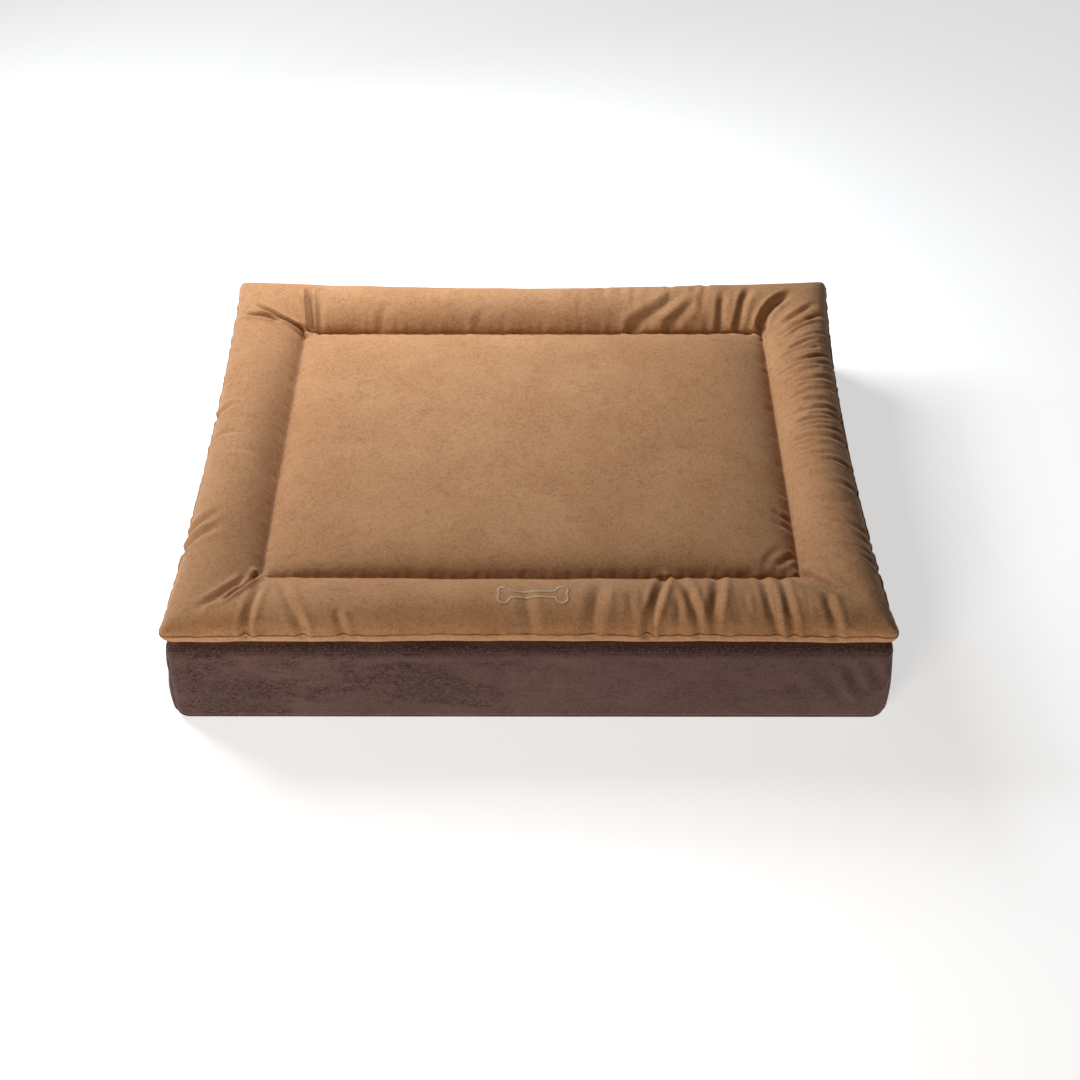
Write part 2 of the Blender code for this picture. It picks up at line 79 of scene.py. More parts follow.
def add(tree, kind, settings=None, **inputs):
    """Add a node. An input, named as its socket is, takes a value or another node's output.

    A list goes to the sockets of that name in turn, such as the two values of a sum.
    """
    node = tree.nodes.new(kind)
    for key, value in (settings or {}).items():
        setattr(node, key, value)
    for key, given in inputs.items():
        label = key.replace("_", " ")
        sockets = iter([s for s in node.inputs if s.enabled and s.name == label])
        for value in given if isinstance(given, list) else [given]:
            socket = next(sockets)
            if isinstance(value, bpy.types.Node):
                value = next(s for s in value.outputs if s.enabled)
            if isinstance(value, bpy.types.NodeSocket):
                tree.links.new(value, socket)
            else:
                socket.default_value = value
    return node


def smooth(value):
    """0 below 0, 1 above 1 and an S between them."""
    value = np.clip(value, 0.0, 1.0)
    return value * value * (3 - 2 * value)


def mesh_piece(name, points, faces, material, cut=None):
    """A new object from arrays of points and faces; cut holds its flat pattern as a UV map."""
    mesh = bpy.data.meshes.new(name)
    mesh.from_pydata(np.asarray(points, float).tolist(), [], [tuple(f) for f in faces])
    mesh.update()
    mesh.polygons.foreach_set("use_smooth", [True] * len(mesh.polygons))
    if cut is not None:
        layer = mesh.uv_layers.new(name="cut")
        corners = np.empty(len(mesh.loops), int)
        mesh.loops.foreach_get("vertex_index", corners)
        layer.data.foreach_set("uv", np.asarray(cut, float)[corners].ravel())
    mesh.materials.append(material)
    piece = bpy.data.objects.new(name, mesh)
    bpy.context.scene.collection.objects.link(piece)
    return piece


def points_of(mesh, what="co"):
    """A mesh's vertex positions, or their normals, as an array of rows."""
    rows = np.empty(len(mesh.vertices) * 3)
    source = mesh.vertices if what == "co" else mesh.vertex_normals
    source.foreach_get("co" if what == "co" else "vector", rows)
    return rows.reshape(-1, 3)


def settle(piece):
    """Replace an object's mesh by what its modifiers make of it, and remove them."""
    graph = bpy.context.evaluated_depsgraph_get()
    mesh = bpy.data.meshes.new_from_object(piece.evaluated_get(graph),
                                           preserve_all_data_layers=True, depsgraph=graph)
    piece.modifiers.clear()
    if piece.data.shape_keys:
        piece.shape_key_clear()
    old, piece.data = piece.data, mesh
    name = old.name
    bpy.data.meshes.remove(old)
    mesh.name = name
    return piece


def weld(mesh):
    """Merge a closed mesh's doubled points and turn all its faces outwards."""
    bm = bmesh.new()
    bm.from_mesh(mesh)
    bmesh.ops.remove_doubles(bm, verts=bm.verts, dist=WELD)
    bmesh.ops.recalc_face_normals(bm, faces=bm.faces)
    if bm.calc_volume(signed=True) < 0:
        bmesh.ops.reverse_faces(bm, faces=bm.faces)
    bm.to_mesh(mesh)
    bm.free()


def grid_faces(index):
    """The quads of a grid of point numbers."""
    return np.stack([index[:-1, :-1], index[1:, :-1], index[1:, 1:], index[:-1, 1:]],
                    -1).reshape(-1, 4)


def soft_noise(shape, passes, seed):
    """Smooth random bumps on a grid, about from -1 to 1: more passes make them wider."""
    field = np.random.default_rng(seed).standard_normal(shape)
    for _ in range(passes):
        for axis in (0, 1):
            padded = np.concatenate([field.take([0], axis), field, field.take([-1], axis)], axis)
            low, mid, high = (padded.take(range(k, k + field.shape[axis]), axis)
                              for k in range(3))
            field = (low + 2 * mid + high) / 4
    return field / max(1e-9, 2.2 * field.std())


def smoothed(loop, passes):
    """A closed line's rows, each moved towards its neighbours' mean."""
    for _ in range(passes):
        loop = (np.roll(loop, 1, 0) + 2 * loop + np.roll(loop, -1, 0)) / 4
    return loop


def drift(place, seed, waves=6, longest=0.3, shortest=0.04):
    """A gentle wander of height about 1 along a line: a sum of seeded sine waves."""
    rng = np.random.default_rng(seed)
    total = np.zeros_like(place)
    for k in range(waves):
        length = longest * (shortest / longest) ** (k / max(1, waves - 1))
        total += np.sin(place * 2 * math.pi / length + rng.uniform(0, 6.28)) * rng.uniform(.5, 1)
    return total / math.sqrt(waves)


# ---------------------------------------------------------------- materials

NOISE, MIX, RAMP = "ShaderNodeTexNoise", "ShaderNodeMix", "ShaderNodeMapRange"
BUMP, WAVE, TURN = "ShaderNodeBump", "ShaderNodeTexWave", "ShaderNodeMapping"
COLOURS = {"data_type": "RGBA"}
SOFT = {"interpolation_type": "SMOOTHSTEP"}
TIMES, LESS, OVER = ({"operation": kind} for kind in ("MULTIPLY", "SUBTRACT", "DIVIDE"))


def new_material(name):
    """An empty material, its node tree and the place on the piece that its patterns read."""
    material = bpy.data.materials.new(name)
    material.use_nodes = True
    tree = material.node_tree
    tree.nodes.clear()
    return material, tree, add(tree, "ShaderNodeTexCoord").outputs["Object"]


def shade(tree, **inputs):
    """The shader at a material's end."""
    shader = add(tree, "ShaderNodeBsdfPrincipled", **inputs)
    add(tree, "ShaderNodeOutputMaterial", Surface=shader)


def tinted(tree, colour, tint, pattern, low, high, most=1.0):
    """Lay a tint over a colour where a pattern runs from low to high, up to a share of most."""
    share = add(tree, RAMP, SOFT, Value=pattern, From_Min=low, From_Max=high, To_Max=most)
    return add(tree, MIX, COLOURS, A=colour, B=tint, Factor=share)


PRESSED_PILE_AND_SHADE = "231311"     # velvet lying flat, where it is rubbed or pressed; also the painted shadow below the topper's edge


def velvet(name, pile, crushed, brushed, marks_and_shade):
    """Short-pile polyester velvet, knitted and brushed.

    Its pile leans this way and that: broad patches are a little lighter or darker, and
    fingertip strokes show. Where marks are asked for, streaks of pressed pile darken it, most
    towards the left, where it is handled, and a band below the topper's edge is darkened as
    painted shadow, the shade under its overhang. The pile itself, about 0.3 mm, is too fine to
    show, so its grain is drawn at about 2 mm.
    """
    material, tree, place = new_material(name)
    stroked = add(tree, TURN, Vector=place, Scale=(1, 1, 2.6), Rotation=(0, 0, 0.35))
    patches = add(tree, NOISE, Vector=place, Scale=9, Detail=4, Roughness=0.6,
                  Distortion=0.4)
    strokes = add(tree, NOISE, Vector=stroked, Scale=42, Detail=5, Roughness=0.62,
                  Distortion=0.8)
    grain = add(tree, NOISE, Vector=place, Scale=520, Detail=2, Roughness=0.7)
    flecks = add(tree, NOISE, Vector=place, Scale=170, Detail=4, Roughness=0.75)
    colour = tinted(tree, pile, brushed, patches, 0.36, 0.66, 0.7)
    colour = tinted(tree, colour, crushed, strokes, 0.50, 0.74, 0.5)
    colour = tinted(tree, colour, brushed, strokes, 0.48, 0.28, 0.45)
    if marks_and_shade:
        drawn = add(tree, TURN, Vector=place, Scale=(1, 1, 2.0), Location=(0.3, 0, 0.2))
        where = add(tree, NOISE, Vector=drawn, Scale=11, Detail=3, Roughness=0.6,
                    Distortion=0.6)
        where = add(tree, RAMP, SOFT, Value=where, From_Min=0.43, From_Max=0.57, To_Max=marks_and_shade)
        across = add(tree, "ShaderNodeSeparateXYZ", Vector=place)
        handled = add(tree, RAMP, SOFT, Value=across, From_Min=-0.15, From_Max=0.10,
                      To_Min=1.0, To_Max=0.35)
        where = add(tree, "ShaderNodeMath", TIMES, Value=[where, handled])
        height = across.outputs["Z"]
        # Painted shadow: a band 8 to 18 mm below the mattress top, under the topper's edge, takes
        # the pressed-pile colour; roll keeps it off the top itself.
        rim = add(tree, RAMP, SOFT, Value=height, From_Min=MATTRESS_TOP - 0.0180,
                  From_Max=MATTRESS_TOP - 0.0080, To_Max=0.88)
        roll = add(tree, RAMP, SOFT, Value=height, From_Min=MATTRESS_TOP - 0.0005,
                   From_Max=MATTRESS_TOP - 0.0035)
        rim = add(tree, "ShaderNodeMath", TIMES, Value=[rim, roll])
        speckle = add(tree, NOISE, Vector=drawn, Scale=120, Detail=5, Roughness=0.75,
                      Distortion=0.5)
        speckle = add(tree, RAMP, SOFT, Value=speckle, From_Min=0.38, From_Max=0.58)
        rubbed = add(tree, "ShaderNodeMath", TIMES, Value=[where, speckle])
        # rubbed lays the pressed-pile marks, and rim lays the painted shadow band.
        for share in (rubbed, rim):
            colour = add(tree, MIX, COLOURS, A=colour, B=linear_colour(PRESSED_PILE_AND_SHADE),
                         Factor=share)
    colour = tinted(tree, colour, crushed, flecks, 0.40, 0.70, 0.50)
    colour = tinted(tree, colour, brushed, grain, 0.42, 0.64, 0.75)
    relief = add(tree, BUMP, Strength=0.45, Distance=0.0018, Height=strokes)
    relief = add(tree, BUMP, Strength=0.5, Distance=0.0007, Height=grain, Normal=relief)
    dull = add(tree, RAMP, SOFT, Value=strokes, From_Min=0.3, From_Max=0.7, To_Min=0.94,
               To_Max=0.78)
    shade(tree, Base_Color=colour, Normal=relief, Roughness=dull, Sheen_Weight=0.35,
          Sheen_Roughness=0.4, Sheen_Tint=linear_colour("E8CDB4"), Specular_IOR_Level=0.15)
    return material


def thread(name, light, dark, gloss):
    """Twisted polyester or rayon thread: slanting plies and a soft gloss.

    Real plies are finer than half a millimetre, so they are drawn 1 mm apart to show.
    """
    material, tree, place = new_material(name)
    turned = add(tree, TURN, Vector=place, Rotation=(0.6, 0.4, 0.8))
    plies = add(tree, WAVE, Vector=turned, Scale=320, Distortion=1.5)
    tone = add(tree, NOISE, Vector=place, Scale=160)
    colour = tinted(tree, dark, light, plies, 0.0, 0.7)
    colour = tinted(tree, colour, dark, tone, 0.4, 0.7, 0.3)
    relief = add(tree, BUMP, Strength=0.4, Distance=0.0002, Height=plies)
    shade(tree, Base_Color=colour, Normal=relief, Roughness=gloss, Sheen_Weight=0.2,
          Anisotropic=0.3)
    return material


def woven_tape(name, warp, weft):
    """Polyester zip tape: a slanting twill with ribs of about 1.4 mm, matt and even."""
    material, tree, place = new_material(name)
    slant = add(tree, TURN, Vector=place, Rotation=(0, 0.9, 0))
    twill = add(tree, WAVE, {"wave_profile": "TRI"}, Vector=slant, Scale=230, Distortion=0.4)
    picks = add(tree, WAVE, Vector=place, Scale=330, Distortion=0.3)
    tone = add(tree, NOISE, Vector=place, Scale=45, Detail=3)
    colour = add(tree, MIX, COLOURS, A=weft, B=warp, Factor=twill)
    colour = tinted(tree, colour, weft, tone, 0.4, 0.7, 0.35)
    height = add(tree, MIX, {"data_type": "FLOAT"}, Factor=0.35, A=twill, B=picks)
    relief = add(tree, BUMP, Strength=0.7, Distance=0.0003, Height=height)
    shade(tree, Base_Color=colour, Normal=relief, Roughness=0.8, Sheen_Weight=0.15)
    return material


def nylon(name, body, edge):
    """Extruded nylon monofilament, wound into a coil: smooth, a little waxy, faintly cloudy."""
    material, tree, place = new_material(name)
    cloud = add(tree, NOISE, Vector=place, Scale=420)
    colour = tinted(tree, body, edge, cloud, 0.35, 0.7)
    relief = add(tree, BUMP, Strength=0.15, Distance=0.0001, Height=cloud)
    dull = add(tree, RAMP, SOFT, Value=cloud, From_Min=0.3, From_Max=0.7, To_Min=0.34, To_Max=0.5)
    shade(tree, Base_Color=colour, Normal=relief, Roughness=dull, IOR=1.53)
    return material


def plated_zinc(name, metal, worn):
    """Die-cast zinc with a dark antique plating: tumbled soft, brighter where it is rubbed."""
    material, tree, place = new_material(name)
    drawn = add(tree, TURN, Vector=place, Scale=(0.12, 1, 1))
    scratches = add(tree, NOISE, Vector=drawn, Scale=2600, Detail=3, Roughness=0.7)
    cloud = add(tree, NOISE, Vector=place, Scale=300, Detail=3)
    colour = tinted(tree, metal, worn, cloud, 0.45, 0.75)
    relief = add(tree, BUMP, Strength=0.25, Distance=0.0001, Height=scratches)
    dull = add(tree, RAMP, SOFT, Value=scratches, From_Min=0.3, From_Max=0.7, To_Min=0.26,
               To_Max=0.44)
    shade(tree, Base_Color=colour, Normal=relief, Roughness=dull, Metallic=1.0)
    return material


def open_cell_foam(name, wall, cell):
    """Slab-cut flexible polyurethane foam: cream, with open cells of about 1.5 mm."""
    material, tree, place = new_material(name)
    cells = add(tree, "ShaderNodeTexVoronoi", Vector=place, Scale=650)
    tone = add(tree, NOISE, Vector=place, Scale=18, Detail=3)
    colour = tinted(tree, cell, wall, cells, 0.05, 0.55)
    colour = tinted(tree, colour, cell, tone, 0.4, 0.7, 0.25)
    relief = add(tree, BUMP, Strength=0.6, Distance=0.0006, Height=cells)
    shade(tree, Base_Color=colour, Normal=relief, Roughness=0.95)
    return material


def fibre_fill(name, bright, hollow):
    """Carded hollow polyester fibre: white, cloudy tufts of about 15 mm with fine hairs."""
    material, tree, place = new_material(name)
    tufts = add(tree, NOISE, Vector=place, Scale=60, Detail=5, Roughness=0.65,
                Distortion=1.5)
    hairs = add(tree, NOISE, Vector=place, Scale=700, Detail=3, Roughness=0.7,
                Distortion=2)
    colour = tinted(tree, hollow, bright, tufts, 0.35, 0.65)
    relief = add(tree, BUMP, Strength=0.8, Distance=0.004, Height=tufts)
    relief = add(tree, BUMP, Strength=0.5, Distance=0.0005, Height=hairs, Normal=relief)
    shade(tree, Base_Color=colour, Normal=relief, Roughness=0.96, Sheen_Weight=0.4)
    return material


def finish(name):
    """The material of that name, made the first time it is asked for."""
    if name in bpy.data.materials:
        return bpy.data.materials[name]
    looks = bpy.context.scene.pet_bed_finishes
    colour = {key: (*getattr(looks, key), 1.0) for key in PETBED_PG_finishes.__annotations__}
    makers = {
        "camel_velvet": (velvet, colour["topper_pile"], colour["topper_crushed"],
                         colour["topper_brushed"], 0.0),
        "cocoa_velvet": (velvet, colour["mattress_pile"], colour["mattress_crushed"],
                         colour["mattress_brushed"], 0.85),
        "quilting_thread": (thread, colour["quilting_thread"], linear_colour("6E4B2E"), 0.55),
        "rayon_embroidery": (thread, colour["embroidery"], linear_colour("A88056"), 0.38),
        "cocoa_thread": (thread, linear_colour("4A3430"), linear_colour("241614"), 0.55),
        "twill_zip_tape": (woven_tape, linear_colour("4B3732"), linear_colour("2A1D1A")),
        "nylon_zip_coil": (nylon, linear_colour("3A2A26"), linear_colour("57423C")),
        "antique_plated_zinc": (plated_zinc, linear_colour("8E8478"), linear_colour("C9C1B4")),
        "cut_foam": (open_cell_foam, linear_colour("EADFB8"), linear_colour("BFAE7C")),
        "hollow_fibre": (fibre_fill, linear_colour("F6F5F0"), linear_colour("CFCDC6")),
    }
    maker, *values = makers[name]
    return maker(name, *values)


# ---------------------------------------------------------------- topper: cut, sewn and stuffed

def border_stations(length, border, border_cut, ease, step):
    """One side's lattice: arc share, sewn place, flat-cut place and distance past the seam.

    The share runs from 0 at the outer seam to 1 at the quilted seam. The cut is larger than
    the sewn place, because the cloth has to go over the stuffing.
    """
    seam = length / 2 - border
    count = round(border_cut / step)
    middle = round(2 * seam / step)
    share = np.arange(count) / count
    across = (1 - np.cos(math.pi * share)) / 2 * border
    inside = np.linspace(-seam, seam, middle + 1)
    low_cut = -seam * ease - border_cut * (1 - share)
    return (np.concatenate([share, np.ones(middle + 1), share[::-1]]),
            np.concatenate([across - length / 2, inside, (length / 2 - across)[::-1]]),
            np.concatenate([low_cut, inside * ease, -low_cut[::-1]]),
            np.concatenate([share * 0, seam - abs(inside), share * 0]))


SEAM_DIP = 0.0012           # how far the quilting pulls its groove in
SEAM_GAP = 0.0008           # between the two layers where they are quilted together
ROLL_SAG = 0.032            # how far a roll's lower side hangs below its two seams
UNDER_RUN = 0.030           # how far inside its seam the centre's lower side lies flat
CENTRE_LUMPS = 0.25         # unevenness of the centre, as a share of the rolls'
LOW_HOLD, OUTER_HOLD, TIP_HOLD = 1.0, 0.3, 0.8      # how far the lower side and the tips stay


def quarter_round(distance, run):
    """A rise from 0 that levels off at 1 once the distance reaches the run."""
    return np.sqrt(1 - (1 - np.minimum(distance / run, 1)) ** 2)


def blunted(x, y, radius):
    """Turn the four tips of a flat outline, centred on the origin, with a small radius."""
    past_x = np.maximum(0, np.abs(x) - x.max() + radius) / radius
    past_y = np.maximum(0, np.abs(y) - y.max() + radius) / radius
    reach = np.maximum(past_x, past_y) / np.maximum(np.hypot(past_x, past_y), 1e-9)
    shrink = np.where((past_x > 0) & (past_y > 0), 1 - reach, 0) * radius
    return x - np.sign(x) * shrink * past_x, y - np.sign(y) * shrink * past_y


class TopperLattice:
    """The cover's two layers as one closed lattice, joined at the outer and quilted seams."""

    def __init__(self, looks):
        length, depth = TOPPER_SIZE.x, TOPPER_SIZE.y
        border = looks.border_width
        share_x, x, cut_x, past_x = border_stations(length, border, looks.border_cut,
                                                    looks.cutting_ease, looks.cloth_step)
        share_y, y, cut_y, past_y = border_stations(depth, border, looks.border_cut,
                                                    looks.cutting_ease, looks.cloth_step)
        self.share = np.minimum(share_x[:, None], share_y[None, :])
        self.inside = (share_x[:, None] == 1) & (share_y[None, :] == 1)
        on_seam = (past_x[:, None] < 1e-9) | (past_y[None, :] < 1e-9)
        self.quilted = self.inside & on_seam
        self.edge = self.share == 0
        self.corner = (share_x[:, None] == 0) & (share_y[None, :] == 0)
        flat_x, flat_y = np.meshgrid(x, y, indexing="ij")
        left, right, front, back = looks.pull_in
        # Each side keeps its two corners, and the stuffing pulls its middle in.
        bow_x = np.where(flat_x < 0, left, right) * (1 - (2 * flat_y / depth) ** 2)
        bow_y = np.where(flat_y < 0, front, back) * (1 - (2 * flat_x / length) ** 2)
        outward_x = 1 - (1 - np.cos(math.pi * share_x)) / 2
        outward_y = 1 - (1 - np.cos(math.pi * share_y)) / 2
        place_x = flat_x - np.sign(flat_x) * bow_x * outward_x[:, None]
        place_y = flat_y - np.sign(flat_y) * bow_y * outward_y[None, :]
        place_x, place_y = blunted(place_x, place_y, looks.tip_radius)
        tube = np.sin(math.pi * self.share)
        seam = looks.edge_height + (looks.quilt_height - looks.edge_height) * (
            1 - np.cos(math.pi * self.share)) / 2
        rise = (quarter_round(past_x, looks.centre_run)[:, None] *
                quarter_round(past_y, looks.centre_run)[None, :])
        fall = (quarter_round(past_x, UNDER_RUN)[:, None] *
                quarter_round(past_y, UNDER_RUN)[None, :])
        crown = looks.border_crown - (looks.edge_height + looks.quilt_height) / 2
        lumps = soft_noise(self.share.shape, looks.lump_spread, 5) * looks.lumps
        lumps = np.where(self.inside, CENTRE_LUMPS * rise, tube) * lumps
        over = seam + crown * tube * looks.slack_start + lumps
        over += (looks.centre_crown - looks.quilt_height) * rise
        under = np.maximum(0, seam - ROLL_SAG * tube - looks.quilt_height * fall)
        under = np.where(self.quilted, under - SEAM_GAP, under)
        # Both layers share the outer seam's points. The lower one's others are numbered last.
        free = ~self.edge
        count = free.size
        self.top = np.arange(count).reshape(free.shape)
        self.bottom = self.top.copy()
        self.bottom[free] = count + np.arange(free.sum())
        self.points = np.zeros((count + free.sum(), 3))
        self.cut = np.zeros_like(self.points)
        cut_places = np.stack([*blunted(*np.meshgrid(cut_x, cut_y, indexing="ij"),
                                        looks.tip_radius), np.zeros(free.shape)], -1)
        self.points[self.bottom] = np.stack([place_x, place_y, under], -1)
        self.points[self.top] = np.stack([place_x, place_y, over], -1)
        self.cut[self.bottom] = self.cut[self.top] = cut_places
        self.points[:, 2] += TOPPER_REST
        self.faces = np.concatenate([grid_faces(self.top), grid_faces(self.bottom)[:, ::-1]])
        self.hold = np.zeros(len(self.points))
        lower_hold = np.where(self.share > 0.45, LOW_HOLD, OUTER_HOLD)
        self.hold[self.bottom[free]] = lower_hold[free]
        self.seam = np.zeros(len(self.points), int)
        self.seam[self.bottom[self.quilted]] = 2
        self.seam[self.top[self.quilted]] = 1
        self.seam[self.top[self.edge]] = 3
        self.hold[self.top[self.inside]] = looks.centre_hold
        self.hold[self.top[self.edge]] = looks.edge_hold
        self.hold[self.top[self.corner]] = TIP_HOLD
        self.hold[self.top[self.quilted]] = 1.0


def stuff(piece, lattice, looks):
    """Blow the sewn cover up from its flat cut with Cloth, and keep the result as its mesh."""
    piece.shape_key_add(name="sewn")
    cut = piece.shape_key_add(name="cut")
    cut.data.foreach_set("co", lattice.cut.ravel())
    cut.value = 0
    group = piece.vertex_groups.new(name="held")
    for weight in np.unique(lattice.hold[lattice.hold > 0]):
        group.add(np.nonzero(lattice.hold == weight)[0].tolist(), float(weight), "REPLACE")
    cloth = piece.modifiers.new("stuffing", "CLOTH")
    cloth.collision_settings.use_collision = False
    cloth.collision_settings.use_self_collision = False
    cloth.point_cache.frame_start = 1
    cloth.point_cache.frame_end = looks.stuffing_frames
    fabric = cloth.settings
    fabric.quality = 6
    fabric.mass = 0.3
    fabric.tension_stiffness = fabric.compression_stiffness = 20
    fabric.shear_stiffness = 8
    fabric.bending_stiffness = looks.cloth_bending
    fabric.tension_damping = fabric.compression_damping = fabric.shear_damping = 5
    fabric.use_pressure = True
    fabric.uniform_pressure_force = looks.stuffing_pressure
    fabric.effector_weights.gravity = 0
    fabric.vertex_group_mass = group.name
    fabric.rest_shape_key = cut
    scene = bpy.context.scene
    for number in range(1, looks.stuffing_frames + 1):
        scene.frame_set(number)
    settle(piece)
    piece.vertex_groups.clear()
    now = points_of(piece.data)
    moved = now - lattice.points
    far = np.linalg.norm(moved, axis=1, keepdims=True)
    now = lattice.points + moved * np.minimum(1, looks.most_swell / np.maximum(far, 1e-9))
    now[:, 2] = np.maximum(now[:, 2], TOPPER_REST)
    piece.data.vertices.foreach_set("co", now.ravel())
    scene.frame_set(1)


def mark_seams(mesh, seam):
    """Keep the cover's seams sharp when it is subdivided; seam numbers each seam's points."""
    ends = np.empty(len(mesh.edges) * 2, int)
    mesh.edges.foreach_get("vertices", ends)
    kinds = seam[ends.reshape(-1, 2)]
    same = (kinds[:, 0] == kinds[:, 1]) * kinds[:, 0]
    sharpness = np.choose(same, [0.0, 1.0, 1.0, 0.7])
    crease_layer = mesh.attributes.new("crease_edge", "FLOAT", "EDGE")
    crease_layer.data.foreach_set("value", sharpness)


def refine_borders(mesh, border):
    """Split the faces of the borders' upper side once more, so that folds can be narrow."""
    bm = bmesh.new()
    bm.from_mesh(mesh)
    past_seam = 0.02
    inner_x = TOPPER_SIZE.x / 2 - border - past_seam
    inner_y = TOPPER_SIZE.y / 2 - border - past_seam
    fine = [f for f in bm.faces if f.normal.z > -0.2 and (
        abs(f.calc_center_median().x) > inner_x or abs(f.calc_center_median().y) > inner_y)]
    edges = list({e for f in fine for e in f.edges})
    bmesh.ops.subdivide_edges(bm, edges=edges, cuts=1, use_grid_fill=True, smooth=0.0)
    bm.to_mesh(mesh)
    bm.free()
    mesh.polygons.foreach_set("use_smooth", [True] * len(mesh.polygons))


# A fold in the cover: its path seen from above, half width, depth and the height of the rolls
# beside it, and how open each end is, from 0 for a fold that fades out to 1 for one that is cut
# off at a seam.
FOLDS = (
    # back left corner: mitre, second crease and the pinch beside it
    (((-.380, .280), (-.395, .282), (-.420, .290), (-.446, .304), (-.468, .325)),
     .0040, .0115, .0044, 1, 0),
    (((-.405, .277), (-.430, .280), (-.458, .285), (-.486, .298)), .0040, .0080, .0040, 0, 0),
    (((-.366, .281), (-.369, .306), (-.374, .340), (-.378, .368)), .0042, .0125, .0064, 1, 0),
    (((-.354, .283), (-.353, .310), (-.350, .335)), .0060, .0030, .0014, 1, 0),
    # back right corner: a deep groove round the end of the back roll
    (((.379, .280), (.380, .290), (.388, .306), (.402, .322), (.418, .335), (.440, .352)),
     .0058, .0125, .0040, 1, 0),
    (((.398, .262), (.425, .280), (.452, .300), (.478, .326)), .0050, .0045, .0020, 0, 0),
    (((.392, .250), (.425, .262), (.462, .280), (.492, .300)), .0045, .0040, .0018, 0, 0),
    # front left corner: mitre with a bright roll, and folds fanning out of it
    (((-.380, -.280), (-.384, -.298), (-.397, -.325), (-.415, -.345), (-.436, -.360)),
     .0042, .0130, .0060, 1, 0),
    (((-.388, -.282), (-.402, -.310), (-.425, -.340), (-.455, -.372)), .0048, .0080, .0044, 0, 0),
    (((-.372, -.300), (-.372, -.335), (-.376, -.365), (-.382, -.396)), .0055, .0060, .0026, 0, 1),
    (((-.345, -.300), (-.334, -.335), (-.318, -.370), (-.304, -.396)), .0060, .0045, .0020, 0, 1),
    (((-.262, -.365), (-.255, -.382), (-.248, -.398)), .0050, .0030, .0014, 0, 1),
    # front roll, towards the right
    (((-.008, -.318), (-.004, -.350), (.004, -.395)), .0080, .0024, .0010, 0, 1),
    (((.100, -.312), (.094, -.345), (.084, -.396)), .0090, .0036, .0016, 0, 1),
    (((.188, -.285), (.182, -.320), (.170, -.362), (.158, -.398)), .0058, .0072, .0034, 1, 1),
    (((.206, -.290), (.216, -.330), (.224, -.365), (.232, -.397)), .0060, .0036, .0018, 1, 1),
    (((.262, -.290), (.258, -.330), (.250, -.365), (.247, -.397)), .0065, .0046, .0020, 1, 1),
    (((.322, -.286), (.325, -.330), (.328, -.365), (.334, -.397)), .0055, .0042, .0020, 1, 1),
    (((.350, -.286), (.350, -.330), (.352, -.365), (.358, -.397)), .0050, .0036, .0016, 1, 1),
    (((.404, -.330), (.406, -.360), (.414, -.396)), .0060, .0034, .0016, 0, 1),
    # front right corner: a soft ridge in place of a mitre
    (((.380, -.280), (.392, -.296), (.412, -.318), (.438, -.345)), .0060, .0060, .0032, 1, 0),
    # back roll, towards the right
    (((.168, .284), (.190, .296), (.214, .310), (.238, .330), (.262, .352)),
     .0085, .0040, .0018, 1, 0),
    (((.225, .284), (.248, .302), (.276, .330)), .0070, .0028, .0012, 1, 0),
    (((.312, .283), (.314, .310), (.320, .350)), .0060, .0036, .0016, 1, 0),
    (((.340, .283), (.346, .306), (.352, .330), (.366, .362)), .0055, .0046, .0022, 1, 0),
    (((-.250, .284), (-.246, .305), (-.238, .330)), .0075, .0020, .0008, 1, 0),
    (((-.090, .284), (-.084, .312)), .0080, .0016, .0008, 1, 0),
    # left roll: faint slanting wrinkles near the front
    (((-.490, -.205), (-.462, -.192), (-.436, -.172)), .0060, .0034, .0018, 1, 0),
    (((-.492, -.238), (-.462, -.222), (-.430, -.205)), .0060, .0036, .0018, 1, 0),
    (((-.490, .052), (-.470, .056), (-.448, .066)), .0060, .0024, .0012, 1, 0),
    # centre: arcs by the right seam and at the front right corner
    (((.352, -.148), (.362, -.160), (.378, -.166)), .0045, .0022, .0010, 0, 1),
    (((.346, -.170), (.360, -.180), (.378, -.184)), .0045, .0020, .0010, 0, 1),
    (((.340, -.262), (.356, -.254), (.372, -.240)), .0045, .0026, .0012, 0, 1),
    (((.326, -.268), (.340, -.246), (.360, -.224)), .0050, .0018, .0008, 0, 0),
    (((-.378, .170), (-.360, .176)), .0040, .0012, .0006, 1, 0),
)


# A fan of puckers: the ends of the line it starts from, the ends of the line it runs to, the
# count, half width and depth of its folds, and a seed.
FANS = (
    ((.388, .262), (.388, -.060), (.494, .330), (.482, -.075), 30, .0036, .0030, 11),
    ((.388, -.060), (.390, -.270), (.482, -.075), (.494, -.330), 12, .0042, .0020, 12),
    ((-.392, -.120), (-.392, .240), (-.488, -.130), (-.490, .280), 9, .0052, .0013, 13),
    ((.386, .262), (.386, -.080), (.456, .296), (.448, -.092), 22, .0032, .0024, 16),
    ((.120, -.290), (.370, -.290), (.125, -.396), (.380, -.398), 12, .0048, .0018, 14),
    ((.060, .290), (.360, .290), (.070, .384), (.380, .390), 10, .0055, .0016, 15),
)


